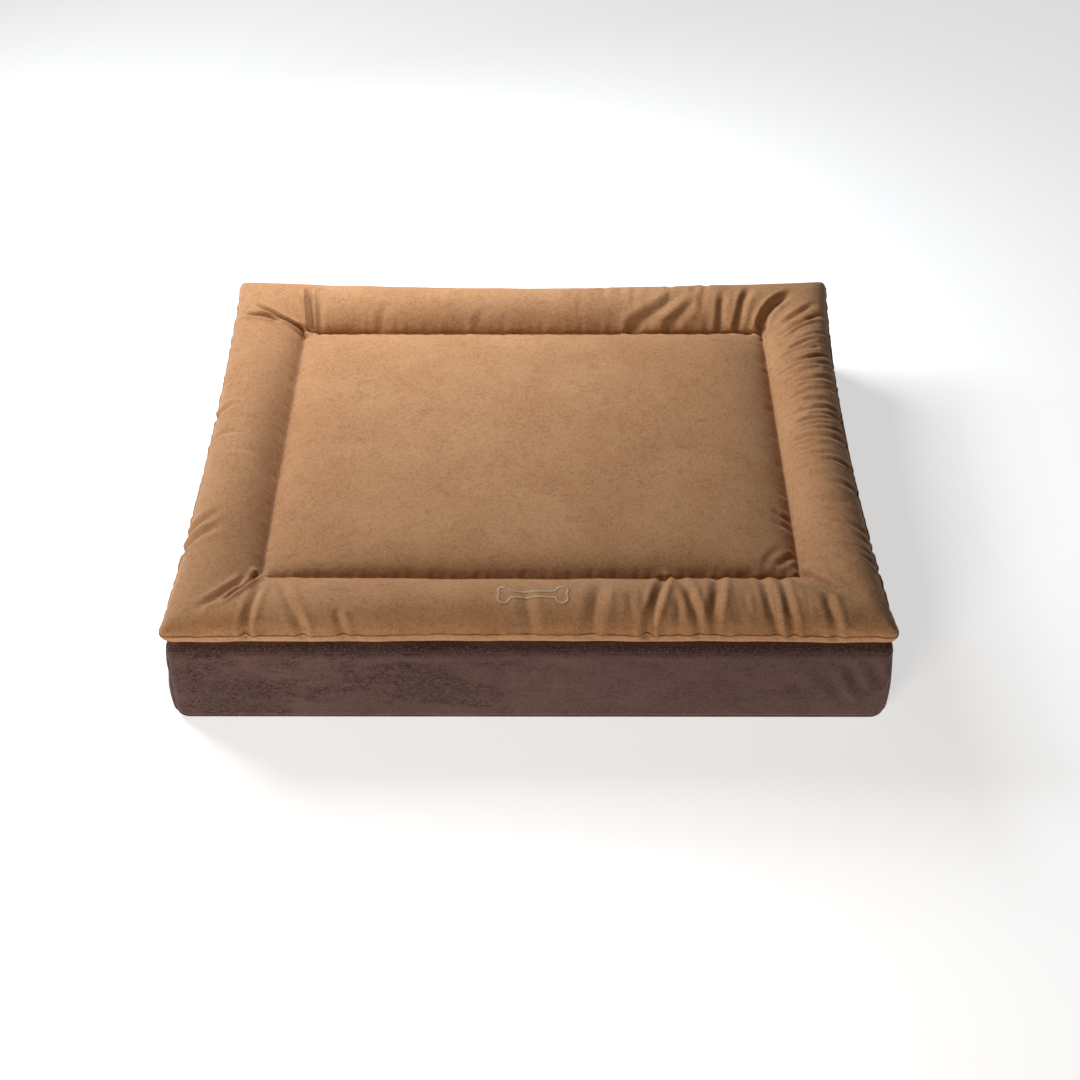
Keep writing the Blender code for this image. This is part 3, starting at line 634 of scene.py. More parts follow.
def fan_of_puckers(start, end, out_start, out_end, count, width, depth, seed):
    """Fine folds that cross a roll, from points along one line to points along another."""
    rng = np.random.default_rng(seed)
    folds = []
    for k in range(count):
        share = (k + rng.uniform(0.2, 0.8)) / count
        inner = np.array(start) + (np.array(end) - start) * share
        outer = np.array(out_start) + (np.array(out_end) - out_start) * share
        outer += rng.uniform(-0.004, 0.004, 2)
        first, last = rng.uniform(0.0, 0.5), rng.uniform(0.75, 1.0)
        path = [inner + (outer - inner) * (first + (last - first) * t) for t in (0, 0.5, 1)]
        path[1] = path[1] + rng.uniform(-0.003, 0.003, 2)
        deep = depth * rng.uniform(0.35, 1.0)
        folds.append((tuple(map(tuple, path)), width * rng.uniform(0.8, 1.3), deep, deep * 0.5,
                      0, float(last > 0.92)))
    return folds


def fold_depth(points, fold):
    """How far a fold pushes each point in (below 0) or out, along the surface's normal."""
    path, width, depth, roll, open_start, open_end = fold
    path = np.array(path)
    legs = path[1:] - path[:-1]
    lengths = np.linalg.norm(legs, axis=1)
    total = lengths.sum()
    reach = 4 * width
    near = np.nonzero(np.all((points > path.min(0) - reach) & (points < path.max(0) + reach),
                             axis=1))[0]
    gap = np.full(len(near), 1e9)
    side = np.zeros(len(near))
    along = np.zeros(len(near))
    walked = 0.0
    for start, leg, length in zip(path, legs, lengths):
        away = points[near] - start
        t = np.clip(away @ leg / length ** 2, 0, 1)
        rest = away - t[:, None] * leg
        far = np.linalg.norm(rest, axis=1)
        closer = far < gap
        gap = np.where(closer, far, gap)
        cross = leg[0] * rest[:, 1] - leg[1] * rest[:, 0]
        side = np.where(closer, np.sign(cross), side)
        along = np.where(closer, (walked + t * length) / total, along)
        walked += length
    fade = smooth(along / 0.35 + open_start) * smooth((1 - along) / 0.45 + open_end)
    spread = gap / width
    valley = np.exp(-spread ** 1.5)
    ridge = np.exp(-((spread - 2.0) / 0.9) ** 2) * np.where(side > 0, 1.0, 0.6)
    push = np.zeros(len(points))
    push[near] = (roll * ridge - depth * valley) * fade
    return push


def crease(piece, looks):
    """Press the folds, puckers and seam gathers into the stuffed cover's upper side."""
    mesh = piece.data
    points, normals = points_of(mesh), points_of(mesh, "normal")
    plan = points[:, :2]
    x, y = plan.T
    up = smooth((normals[:, 2] + 0.35) / 0.4)
    seam_x, seam_y = TOPPER_SIZE.x / 2 - looks.border_width, TOPPER_SIZE.y / 2 - looks.border_width
    push = np.zeros(len(points))
    for fold in (*FOLDS, *(fold for fan in FANS for fold in fan_of_puckers(*fan))):
        push += fold_depth(plan, fold)
    # Gathers: short waves that die away within some 15 mm of the quilted seam. The seam itself
    # is held down by its thread, and a fold stops short of the cover's lower side.
    to_seam = np.maximum(abs(x) - seam_x, abs(y) - seam_y)
    beside_x = abs(abs(x) - seam_x) < abs(abs(y) - seam_y)
    along = np.where(beside_x, y + 0.7 * np.sign(x), x + 0.3 * np.sign(y))
    gather_height, gather_reach, groove = 0.0009, 0.011, 0.0026
    gathers = drift(along, 21, 5, 0.060, 0.016) * gather_height
    push += gathers * np.exp(-(to_seam / gather_reach) ** 2) * (abs(to_seam) > 0.0015)
    held = np.exp(-(to_seam / groove) ** 2)
    push = push * (1 - held) - SEAM_DIP * held
    left_under = 0.008
    most_in = np.maximum(points[:, 2] - (TOPPER_REST + left_under), 0)
    push = np.where(push < 0, np.maximum(push, -most_in), push)
    moved = points + normals * (push * up)[:, None]
    # The outer seam wanders a little, and the strip under it is gathered.
    out = np.maximum(abs(x) / (TOPPER_SIZE.x / 2), abs(y) / (TOPPER_SIZE.y / 2))
    low = smooth((out - 0.955) / 0.03) * smooth((TOPPER_REST + 0.034 - points[:, 2]) / 0.01)
    rim = np.where(abs(x) / TOPPER_SIZE.x > abs(y) / TOPPER_SIZE.y, y + 2, x - 2 * np.sign(y))
    pleats, wander = drift(rim, 22, 6, 0.050, 0.014), drift(rim, 23, 4, 0.35, 0.07)
    moved[:, 2] += low * (wander * 0.0011 + pleats * 0.0005)
    moved[:, :2] += normals[:, :2] * (low * pleats * 0.0008)[:, None]
    moved[:, 2] = np.maximum(moved[:, 2], TOPPER_REST)
    mesh.vertices.foreach_set("co", moved.ravel())
    mesh.update()


SKETCH = {}                 # lattices and grids that a later operator reads
LEAST_FIBRE = 0.002         # thickness of a filling where the cover is creased deepest


class PETBED_OT_topper_cover(bpy.types.Operator):
    """Cut, sew, stuff and crease the topper's velvet cover"""
    bl_idname = "petbed.topper_cover"
    bl_label = "Topper Cover"

    def execute(self, context):
        looks = context.scene.pet_bed_topper
        lattice = SKETCH["topper"] = TopperLattice(looks)
        cover = mesh_piece("topper_cover", lattice.points, lattice.faces, finish("camel_velvet"),
                           lattice.cut[:, :2])
        mark_seams(cover.data, lattice.seam)
        stuff(cover, lattice, looks)
        SKETCH["stuffed"] = points_of(cover.data)
        finer = cover.modifiers.new("finer", "SUBSURF")
        finer.levels = finer.render_levels = 1
        settle(cover)
        refine_borders(cover.data, looks.border_width)
        crease(cover, looks)
        context.view_layer.update()
        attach(cover, "topper")
        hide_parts("topper_top_panel", "topper_bottom_panel")
        return {"FINISHED"}


def filling_grids(lattice, stuffed, side, columns, inner, outer, ease):
    """The upper and lower grids of one border's stuffed roll, mitred at its ends."""
    top, bottom = stuffed[lattice.top], stuffed[lattice.bottom]
    if side in ("left", "right"):
        top, bottom = top.transpose(1, 0, 2), bottom.transpose(1, 0, 2)
    if side in ("right", "back"):
        top, bottom = top[:, ::-1], bottom[:, ::-1]
    upper, lower = [], []
    for row in range(outer, inner):
        ends = np.linspace(row + 1.5, top.shape[0] - 2.5 - row, columns)
        for source, target, lift in ((top, upper, -ease), (bottom, lower, ease)):
            line = np.stack([np.interp(ends, np.arange(top.shape[0]), source[:, row, k])
                             for k in range(3)], -1)
            line[:, 2] += lift
            target.append(line)
    upper, lower = np.array(upper), np.array(lower)
    upper[..., 2] = np.maximum(upper[..., 2], lower[..., 2] + LEAST_FIBRE)
    return upper, lower


def closed_cloth(name, outer, inner, material, loop=False):
    """A closed mesh from matching grids of points on a piece's two faces.

    With loop the grid's last column meets its first; its first row is an edge, and its last
    row closes on itself or is an edge too.
    """
    rows, columns = outer.shape[:2]
    index = np.arange(rows * columns).reshape(rows, columns)
    if loop:
        index = np.concatenate([index, index[:, :1]], 1)
    back = index + rows * columns
    walls = [(index[0], back[0]), (back[-1], index[-1])]
    if not loop:
        walls += [(back[:, 0], index[:, 0]), (index[:, -1], back[:, -1])]
    faces = [grid_faces(index), grid_faces(back)[:, ::-1]]
    for near, far in walls:
        faces.append(np.stack([near[:-1], near[1:], far[1:], far[:-1]], -1)[:, ::-1])
    points = np.concatenate([outer.reshape(-1, 3), inner.reshape(-1, 3)])
    piece = mesh_piece(name, points, np.concatenate(faces), material)
    weld(piece.data)
    return piece


def edge_line(cover):
    """The cover's outer seam as points in order, read off its creased edges."""
    mesh = cover.data
    sharp = np.array([item.value for item in mesh.attributes["crease_edge"].data])
    ends = np.empty(len(mesh.edges) * 2, int)
    mesh.edges.foreach_get("vertices", ends)
    ends = ends.reshape(-1, 2)[(sharp > 0.5) & (sharp < 0.9)]
    joined = {}
    for a, b in ends.tolist():
        joined.setdefault(a, []).append(b)
        joined.setdefault(b, []).append(a)
    start = ends[0, 0]
    order, before = [start], None
    while True:
        following = [v for v in joined[order[-1]] if v != before]
        if not following or following[0] == start:
            break
        before = order[-1]
        order.append(following[0])
    return points_of(mesh)[order]


def sink_under(cover, upper, lower, ease):
    """Lower a filling's upper grid to lie under the cover's creases, as real fibre gives way."""
    reach = 0.005
    around = [(0, 0)] + [(reach * math.cos(a), reach * math.sin(a))
                         for a in np.radians(np.arange(0, 360, 60))]
    for spot, floor in zip(upper.reshape(-1, 3), lower.reshape(-1, 3)):
        for dx, dy in around:
            hit, place, _, _ = cover.ray_cast(Vector((spot[0] + dx, spot[1] + dy, 1)),
                                              Vector((0, 0, -1)))
            if hit:
                spot[2] = min(spot[2], place.z - ease)
        spot[2] = max(spot[2], floor[2] + LEAST_FIBRE)


class PETBED_OT_topper_fillings(bpy.types.Operator):
    """Fill the topper's centre and its four rolls with fibre, inside the stuffed cover"""
    bl_idname = "petbed.topper_fillings"
    bl_label = "Topper Fillings"

    def execute(self, context):
        looks = context.scene.pet_bed_topper
        lattice, stuffed = SKETCH["topper"], SKETCH["stuffed"]
        border_rows = round(looks.border_cut / looks.cloth_step)
        cover = bpy.data.objects["topper_cover"]
        made = {}
        for side in ("front", "back", "left", "right"):
            upper, lower = filling_grids(lattice, stuffed, side, 150, border_rows - 2, 3,
                                         looks.filling_ease)
            sink_under(cover, upper, lower, looks.filling_ease)
            made[side] = closed_cloth(f"topper_{side}_fibre", upper, lower,
                                      finish("hollow_fibre"))
        inside = slice(border_rows + 2, -border_rows - 2)
        top = stuffed[lattice.top[inside, inside]] - Vector((0, 0, looks.filling_ease))
        bottom = stuffed[lattice.bottom[inside, inside]] + Vector((0, 0, looks.filling_ease))
        made["centre"] = closed_cloth("topper_centre_fibre", top, bottom, finish("hollow_fibre"))
        for side, fibre in made.items():
            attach(fibre, "topper")
            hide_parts(f"topper_{side}_filling")
        return {"FINISHED"}


# ---------------------------------------------------------------- repeats along a path

def path_piece(name, points, closed=False, across=None):
    """A bare line of points for a node tree to follow; across is kept as an attribute."""
    mesh = bpy.data.meshes.new(name)
    count = len(points)
    edges = [(k, (k + 1) % count) for k in range(count if closed else count - 1)]
    mesh.from_pydata(np.asarray(points, float).tolist(), edges, [])
    if across is not None:
        layer = mesh.attributes.new("across", "FLOAT_VECTOR", "POINT")
        layer.data.foreach_set("vector", np.asarray(across, float).ravel())
    piece = bpy.data.objects.new(name, mesh)
    bpy.context.scene.collection.objects.link(piece)
    return piece


def new_growth(name, sizes):
    """An empty geometry tree with a named input for each of its sizes."""
    tree = bpy.data.node_groups.new(name, "GeometryNodeTree")
    tree.interface.new_socket(name="Geometry", in_out="INPUT", socket_type="NodeSocketGeometry")
    tree.interface.new_socket(name="Geometry", in_out="OUTPUT", socket_type="NodeSocketGeometry")
    for label, kind in sizes.items():
        tree.interface.new_socket(name=label, in_out="INPUT", socket_type="NodeSocket" + kind)
    return tree, tree.nodes.new("NodeGroupInput").outputs


def end_growth(tree, shape, material):
    """Close a geometry tree: real mesh, shaded smooth, with its material."""
    real = add(tree, "GeometryNodeRealizeInstances", Geometry=shape)
    soft = add(tree, "GeometryNodeSetShadeSmooth", Geometry=real)
    done = add(tree, "GeometryNodeSetMaterial", Geometry=soft, Material=material)
    out = tree.nodes.new("NodeGroupOutput")
    tree.links.new(done.outputs[0], out.inputs[0])
    return tree


def grow(piece, tree, values):
    """Run a geometry tree on a piece with its inputs set, and keep what it makes as the mesh."""
    modifier = piece.modifiers.new(tree.name, "NODES")
    modifier.node_group = tree
    for socket in tree.interface.items_tree:
        if socket.in_out == "INPUT" and socket.name in values:
            modifier[socket.identifier] = values[socket.name]
    return settle(piece)


def stitch_tree():
    """Small thread capsules along a line, lying along it or across it, slightly uneven."""
    tree, size = new_growth("thread_stitches", {
        "Pitch": "Float", "Length": "Float", "Thread Radius": "Float", "Unevenness": "Float",
        "Across": "Bool", "Seed": "Int", "Material": "Material"})
    line = add(tree, "GeometryNodeMeshToCurve", Mesh=size["Geometry"])
    spaced = add(tree, "GeometryNodeResampleCurve", {"mode": "LENGTH"}, Curve=line,
                 Length=size["Pitch"])
    half = add(tree, "ShaderNodeMath", TIMES, Value=[size["Length"], 0.5])
    shape = add(tree, "ShaderNodeCombineXYZ", X=half, Y=size["Thread Radius"],
                Z=size["Thread Radius"])
    ball = add(tree, "GeometryNodeMeshUVSphere", Segments=8, Rings=6, Radius=1.0)
    upright = add(tree, "GeometryNodeTransform", Geometry=ball,
                  Rotation=(0, math.pi / 2, 0))
    capsule = add(tree, "GeometryNodeTransform", Geometry=upright, Scale=shape)
    along = add(tree, "GeometryNodeInputTangent")
    across = add(tree, "GeometryNodeInputNamedAttribute", {"data_type": "FLOAT_VECTOR"},
                 Name="across")
    lies = add(tree, "GeometryNodeSwitch", {"input_type": "VECTOR"}, Switch=size["Across"],
               **{"False": along, "True": across})
    turn = add(tree, "FunctionNodeAlignRotationToVector", {"axis": "X"}, Vector=lies)
    least = add(tree, "ShaderNodeMath", LESS, Value=[1.0, size["Unevenness"]])
    uneven = add(tree, "FunctionNodeRandomValue", {"data_type": "FLOAT"}, Min=least, Max=1.0,
                 Seed=size["Seed"])
    placed = add(tree, "GeometryNodeInstanceOnPoints", Points=spaced, Instance=capsule,
                 Rotation=turn, Scale=uneven)
    return end_growth(tree, placed, size["Material"])


def sew(name, points, body, material, pitch, length, radius, uneven, seed, across=None,
        closed=False):
    """A row of stitches along points, as one plain mesh."""
    tree = bpy.data.node_groups.get("thread_stitches") or stitch_tree()
    row = path_piece(name, points, closed, across)
    grow(row, tree, {"Pitch": pitch, "Length": length, "Thread Radius": radius,
                     "Unevenness": uneven, "Across": across is not None, "Seed": seed,
                     "Material": material})
    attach(row, body)
    return row


class PETBED_OT_topper_edge(bpy.types.Operator):
    """Round the topper's outer seam with the ridge that its turned seam allowance makes"""
    bl_idname = "petbed.topper_edge"
    bl_label = "Topper Edge"

    def execute(self, context):
        looks = context.scene.pet_bed_topper
        line = edge_line(bpy.data.objects["topper_cover"])
        line = smoothed(line, 2)
        run = walk(line)
        line[:, 2] += 0.0007 * drift(run, 61, 8, 0.14, 0.02)
        ridge = path_piece("topper_edge_seam", line, closed=True)
        grow(ridge, cord_tree(), {"Cord Radius": looks.edge_ridge, "Unevenness": 0.3,
                                  "Lump Size": 0.014, "Material": finish("camel_velvet")})
        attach(ridge, "topper")
        return {"FINISHED"}


class PETBED_OT_topper_stitches(bpy.types.Operator):
    """Quilt the topper: a row of stitches in the groove round its centre"""
    bl_idname = "petbed.topper_stitches"
    bl_label = "Topper Stitches"

    def execute(self, context):
        sizes, looks = context.scene.pet_bed_stitches, context.scene.pet_bed_topper
        x = TOPPER_SIZE.x / 2 - looks.border_width
        y = TOPPER_SIZE.y / 2 - looks.border_width
        z = TOPPER_REST + looks.quilt_height - SEAM_DIP + sizes.thread_radius * 0.6
        corners = [(x, y, z), (-x, y, z), (-x, -y, z), (x, -y, z)]
        row = sew("topper_quilting_stitches", corners, "topper", finish("quilting_thread"),
                  sizes.quilt_pitch, sizes.quilt_length, sizes.thread_radius,
                  0.12, 4, closed=True)
        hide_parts("topper_quilting_thread")
        return {"FINISHED"}


# ---------------------------------------------------------------- embroidered bone

def bone_outline(length, height, count):
    """A plain dog bone's outline about the origin: two round knuckles at each end."""
    knuckle, waist = height * 0.28, height * 0.19
    centre = (length / 2 - knuckle, height / 2 - knuckle)
    notch = -math.asin(centre[1] / knuckle)
    foot = math.pi + math.asin((centre[1] - waist) / knuckle)
    turn = np.linspace(notch, foot, 40)
    round_end = np.stack([centre[0] + knuckle * np.cos(turn),
                          centre[1] + knuckle * np.sin(turn)], -1)
    shank_x = np.linspace(round_end[-1, 0], 0, 20)[1:]
    shank = np.stack([shank_x, waist * (0.9 + 0.1 * (shank_x / shank_x[0]) ** 2)], -1)
    quarter = np.concatenate([round_end, shank])
    upper = np.concatenate([quarter, quarter[-2::-1] * (-1, 1)])
    line = np.concatenate([upper, upper[-2:0:-1] * (1, -1), upper[:1]])
    steps = walk(line)
    places = np.linspace(0, steps[-1], count, endpoint=False)
    return np.stack([np.interp(places, steps, line[:, k]) for k in (0, 1)], -1)


def lay_on(cover, plan):
    """Where vertical lines through plan points meet the top of a piece, and its normals."""
    spots, normals = [], []
    for x, y in plan:
        hit, spot, normal, _ = cover.ray_cast(Vector((x, y, 1.0)), Vector((0, 0, -1)))
        if not hit:
            raise RuntimeError("the embroidery runs off the topper")
        spots.append(spot)
        normals.append(normal)
    return np.array(spots), np.array(normals)


class PETBED_OT_embroidery(bpy.types.Operator):
    """Embroider a plain bone in satin stitch on the topper's front roll"""
    bl_idname = "petbed.embroidery"
    bl_label = "Embroidered Bone"

    def execute(self, context):
        sizes = context.scene.pet_bed_stitches
        low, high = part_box("topper_motif_embroidery")
        middle = np.array([(low.x + high.x) / 2, (low.y + high.y) / 2])
        cover = bpy.data.objects["topper_cover"]
        context.view_layer.update()
        length, height = high.x - low.x, (high.y - low.y) * 1.05
        plan = bone_outline(length - sizes.satin_width, height - sizes.satin_width, 300) + middle
        spots, normals = lay_on(cover, plan)
        spots, normals = smoothed(spots, 6), smoothed(normals, 6)
        spots += normals * sizes.satin_radius * 0.9
        tangent = np.roll(spots, -1, 0) - np.roll(spots, 1, 0)
        across = np.cross(normals, tangent)
        across /= np.linalg.norm(across, axis=1, keepdims=True)
        tangent /= np.linalg.norm(tangent, axis=1, keepdims=True)
        across += tangent * 0.25
        bone = sew("topper_embroidered_bone", spots, "topper", finish("rayon_embroidery"),
                   sizes.satin_pitch, sizes.satin_width,
                   sizes.satin_radius, 0.10, 7, across=across, closed=True)
        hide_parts("topper_motif_embroidery")
        return {"FINISHED"}


# ---------------------------------------------------------------- mattress

ARC_STEPS = 12              # faces round each upright corner; even, so that it has a middle


def ring(half_x, half_y, radius, step):
    """A rounded rectangle seen from above: points and outward normals, anticlockwise.

    It starts where the front right corner's arc leaves the front, so a slice of it is a side.
    The count of points depends on the mattress and step alone, so that rings match.
    """
    long_steps = round(MATTRESS_SIZE.x / step)
    short_steps = round(MATTRESS_SIZE.y / step)
    points, normals = [], []
    corners = ((1, -1, 270, short_steps), (1, 1, 0, long_steps), (-1, 1, 90, short_steps),
               (-1, -1, 180, long_steps))
    centres = [Vector((sx * (half_x - radius), sy * (half_y - radius))) for sx, sy, _, _ in corners]
    for k, (_, _, start, steps) in enumerate(corners):
        for j in range(ARC_STEPS + 1):
            a = math.radians(start + 90 * j / ARC_STEPS)
            normals.append((math.cos(a), math.sin(a)))
            points.append(centres[k] + Vector(normals[-1]) * radius)
        following = centres[(k + 1) % 4] + Vector(normals[-1]) * radius
        begin = points[-1].copy()
        for j in range(1, steps):
            points.append(begin.lerp(following, j / steps))
            normals.append(normals[-1])
    return np.array(points), np.array(normals)


def bowed(points, bow):
    """The sides pull in a little between the corners, where the cover is tight."""
    x, y = points[..., 0], points[..., 1]
    share = 1 - np.clip(abs(y) / (MATTRESS_SIZE.y / 2), 0, 1) ** 2
    pull = bow * share * smooth((abs(x) - 0.30) / 0.15)
    return np.concatenate([(x - np.sign(x) * pull)[..., None], points[..., 1:]], -1)


def walk(points):
    """How far along a line each of its points lies."""
    return np.r_[0, np.cumsum(np.linalg.norm(np.diff(points, axis=0), axis=1))]


def belly_curve(z, looks):
    """How far the bands stand out at height z: full near the foot, nothing at the top seam."""
    above = looks.belly * (1 - ((z - looks.belly_height) / (TOP_SEAM - looks.belly_height)) ** 2)
    drop = (looks.belly_height - z) / (looks.belly_height - HEM)
    below = looks.belly - (looks.belly - looks.hem_swell) * drop ** 2
    return np.where(z > looks.belly_height, above, below)


# Folds in the bands, as in the topper, but along the outline (from the front's left corner,
# anticlockwise) and up. Each side's run starts where its slice of the outline does.
BAND_FOLDS = {
    "front": (
        (((.905, .110), (.915, .080), (.935, .040), (.945, .020)), .0080, .0042, .0026, 0, 0),
        (((.930, .124), (.944, .090), (.962, .050)), .0070, .0044, .0028, 0, 0),
        (((.965, .128), (.972, .100), (.984, .070)), .0060, .0040, .0028, 0, 0),
        (((.985, .122), (.978, .095), (.966, .060), (.958, .030)), .0055, .0034, .0022, 0, 0),
        (((.860, .100), (.875, .060), (.880, .030)), .0100, .0034, .0020, 0, 0),
        (((.030, .126), (.040, .090), (.036, .050)), .0080, .0024, .0014, 0, 0),
        (((.060, .110), (.085, .075), (.090, .040)), .0100, .0016, .0010, 0, 0),
        (((.300, .128), (.330, .118), (.365, .112)), .0060, .0012, .0008, 0, 0),
        (((.610, .128), (.640, .120), (.690, .116)), .0070, .0014, .0008, 0, 0),
    ),
    "left": (
        (((.560, .120), (.575, .080), (.570, .040)), .0090, .0022, .0012, 0, 0),
        (((.800, .124), (.812, .090), (.806, .050)), .0080, .0026, .0014, 0, 0),
        (((.090, .120), (.100, .070)), .0080, .0022, .0012, 0, 0),
        (((.870, .118), (.862, .080)), .0070, .0018, .0010, 0, 0),
    ),
    "right": (
        (((.030, .122), (.040, .080), (.036, .050)), .0080, .0026, .0014, 0, 0),
        (((.300, .118), (.320, .070), (.316, .040)), .0100, .0018, .0010, 0, 0),
        (((.760, .120), (.774, .080), (.770, .045)), .0080, .0024, .0012, 0, 0),
        (((.845, .112), (.850, .070)), .0080, .0018, .0010, 0, 0),
    ),
    "back_upper": (), "back_lower": (
        (((.120, .080), (.130, .050), (.126, .025)), .0090, .0014, .0008, 0, 0),
        (((.700, .084), (.716, .055), (.712, .030)), .0090, .0016, .0010, 0, 0),
    ),
}


GATHERS_FADE = 0.010        # gathers die away this far from a seam
TURN_WIDTH = 0.0022         # how near its seam an edge turns in
SEAM_WELT = (0.0007, 0.006, 0.004)      # height, place and width of the soft roll beside a seam


def band_face(points, normals, levels, name, looks, seed):
    """The outer face of one band as a grid: its sections up, its outline along."""
    run = walk(points)
    along, up = np.meshgrid(run, levels)
    stand = belly_curve(up, looks)
    low, high = levels[0], levels[-1]
    waves = drift(along + 0.5 * up, seed, 6, 0.42, 0.06)
    middle = np.sin(math.pi * np.clip((up - low) / (high - low), 0, 1))
    stand += looks.band_waves * waves * middle
    for edge in (low, high):
        gathers = drift(along, seed + 1 + int(edge * 1000), 5, 0.055, 0.014)
        gap = abs(up - edge)
        near, at_seam = np.exp(-(gap / GATHERS_FADE) ** 2), np.exp(-(gap / 0.002) ** 2)
        stand += looks.band_gathers * gathers * near * (1 - at_seam)
        stand -= looks.seam_turn * np.exp(-(gap / TURN_WIDTH) ** 2)
        height, place, width = SEAM_WELT
        stand += height * np.exp(-((gap - place) / width) ** 2)
    flat = np.stack([along.ravel(), up.ravel()], -1)
    for fold in BAND_FOLDS[name]:
        stand += fold_depth(flat, fold).reshape(stand.shape)
    for end in (run[0], run[-1]):
        stand -= looks.seam_turn * 0.7 * np.exp(-((along - end) / TURN_WIDTH) ** 2)
    face = np.empty((*stand.shape, 3))
    face[..., :2] = points[None] + normals[None] * stand[..., None]
    face[..., 2] = up
    return bowed(face, looks.bow)


def band_levels(low, high, count):
    """Heights close together at both seams and wider in the middle."""
    share = np.linspace(-1, 1, count)
    share = np.sign(share) * (1 - (1 - abs(share)) ** 1.45)
    return low + (high - low) * (share + 1) / 2


def tangents(points):
    """The direction of a line at each of its points."""
    along = np.gradient(points, axis=0)
    return along / np.linalg.norm(along, axis=1, keepdims=True)


def band_spans(points, looks):
    """Each band's first and last point on the outline, its lowest and highest level, its rows.

    The front and side bands meet at the middle of the front corners. The side bands run round
    the back corners to the back bands, which are as long as the zip's opening.
    """
    count, half = len(points), ARC_STEPS // 2
    long_steps = round(MATTRESS_SIZE.x / looks.weave_step)
    short_steps = round(MATTRESS_SIZE.y / looks.weave_step)
    back_start = 2 * ARC_STEPS + short_steps
    back_end = back_start + long_steps
    left_end = back_end + ARC_STEPS + short_steps
    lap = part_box("base_back_band_lower")[1].x
    skipped = int(np.argmin(abs(points[back_start:back_end + 1, 0] - lap)))
    back = (back_start + skipped, back_end - skipped)
    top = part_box("base_front_band")[1].z
    zip_low, zip_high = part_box("base_back_band_lower")[1].z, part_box("base_back_band_upper")[0].z
    return {
        "front": (left_end + half, count + half, HEM, top, 34),
        "right": (half, back[0], HEM, top, 30),
        "left": (back[1], left_end + half, HEM, top, 30),
        "back_lower": (*back, HEM, zip_low, 24),
        "back_upper": (*back, zip_high, top, 10),
    }


class PETBED_OT_mattress_bands(bpy.types.Operator):
    """Stretch the five velvet bands round the mattress"""
    bl_idname = "petbed.mattress_bands"
    bl_label = "Mattress Bands"

    def execute(self, context):
        looks = context.scene.pet_bed_mattress
        points, normals = ring(MATTRESS_SIZE.x / 2, MATTRESS_SIZE.y / 2, looks.corner_radius,
                               looks.weave_step)
        names = {"back_lower": "base_back_band_lower", "back_upper": "base_back_band_upper"}
        spans = band_spans(points, looks)
        for seed, (side, (start, end, low, high, rows)) in enumerate(spans.items()):
            chosen = np.arange(start, end + 1) % len(points)
            path, out = points[chosen].copy(), normals[chosen]
            ends = tangents(path)
            path[0] += ends[0] * CLEAR / 2
            path[-1] -= ends[-1] * CLEAR / 2
            face = band_face(path, out, band_levels(low, high, rows), side, looks, 40 + 7 * seed)
            lining = face.copy()
            lining[..., :2] -= out[None] * looks.cloth
            node = names.get(side, f"base_{side}_band")
            band = closed_cloth(node.replace("base", "mattress"), face, lining,
                                finish("cocoa_velvet"))
            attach(band, "mattress")
            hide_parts(node)
            SKETCH[side] = face
        return {"FINISHED"}


def panel_rings(looks, profile):
    """Rings of a panel from its outline inwards, then closing on a line along its middle."""
    rings = []
    radius = looks.corner_radius
    for inset, z in profile:
        here, _ = ring(MATTRESS_SIZE.x / 2 - inset, MATTRESS_SIZE.y / 2 - inset,
                       max(0.004, radius - inset), looks.weave_step)
        rings.append(np.concatenate([here, np.full((len(here), 1), z)], -1))
    last = rings[-1]
    spine = (MATTRESS_SIZE.x - MATTRESS_SIZE.y) / 2
    close = np.stack([np.clip(last[:, 0], -spine, spine), last[:, 1] * 0, last[:, 2]], -1)
    for share in (0.12, 0.26, 0.42, 0.6, 0.8, 1.0):
        rings.append(last + (close - last) * share)
    return bowed(np.array(rings), looks.bow)


ROLL = MATTRESS_TOP - TOP_SEAM - 0.0004     # radius of the top panel's rounded edge


def top_panel_faces(looks):
    """The top panel's face and lining: rolled over the foam's edge and sunk a little inside."""
    seam = TOP_SEAM + 0.0001
    profile = [(looks.seam_turn, seam), (looks.seam_turn * 0.4, seam + 0.0006),
               (-0.0002, seam + 0.0018)]
    profile += [(ROLL * (1 - math.cos(a)), seam + ROLL * math.sin(a))
                for a in np.radians(np.linspace(12, 90, 9))]
    profile += [(d, MATTRESS_TOP) for d in (0.02, 0.03, 0.045, 0.07, 0.11)]
    face = panel_rings(looks, profile)
    gathers = drift(walk(face[0]), 31, 6, 0.070, 0.016)
    for k in range(1, len(profile)):
        gap = face[k, :, 2].mean() - TOP_SEAM
        face[k, :, 2] += 0.0005 * gathers * math.exp(-(gap / 0.007) ** 2)
    x, y = face[..., 0], face[..., 1]
    sunk = smooth((MATTRESS_SIZE.x / 2 - abs(x)) / 0.05) * smooth(
        (MATTRESS_SIZE.y / 2 - abs(y)) / 0.05)
    waves = drift(x + 0.3 * y, 32, 5, 0.5, 0.09) + drift(y - 0.2 * x, 33, 5, 0.4, 0.08)
    face[..., 2] -= sunk * (0.0012 + 0.0004 * waves)
    # On the rolled edge the lining lies inwards from the face, and elsewhere below it.
    lining = face.copy()
    lining[..., 2] -= looks.cloth
    rows = len(profile)
    lean = np.clip(1 - np.array(profile)[:, 0] / ROLL, 0, 1)[:, None]
    plan = face[:rows, :, :2]
    toward = plan / np.linalg.norm(plan, axis=-1, keepdims=True)
    lining[:rows, :, :2] -= toward * lean[..., None] * looks.cloth
    lining[:rows, :, 2] += lean * looks.cloth
    return face, lining


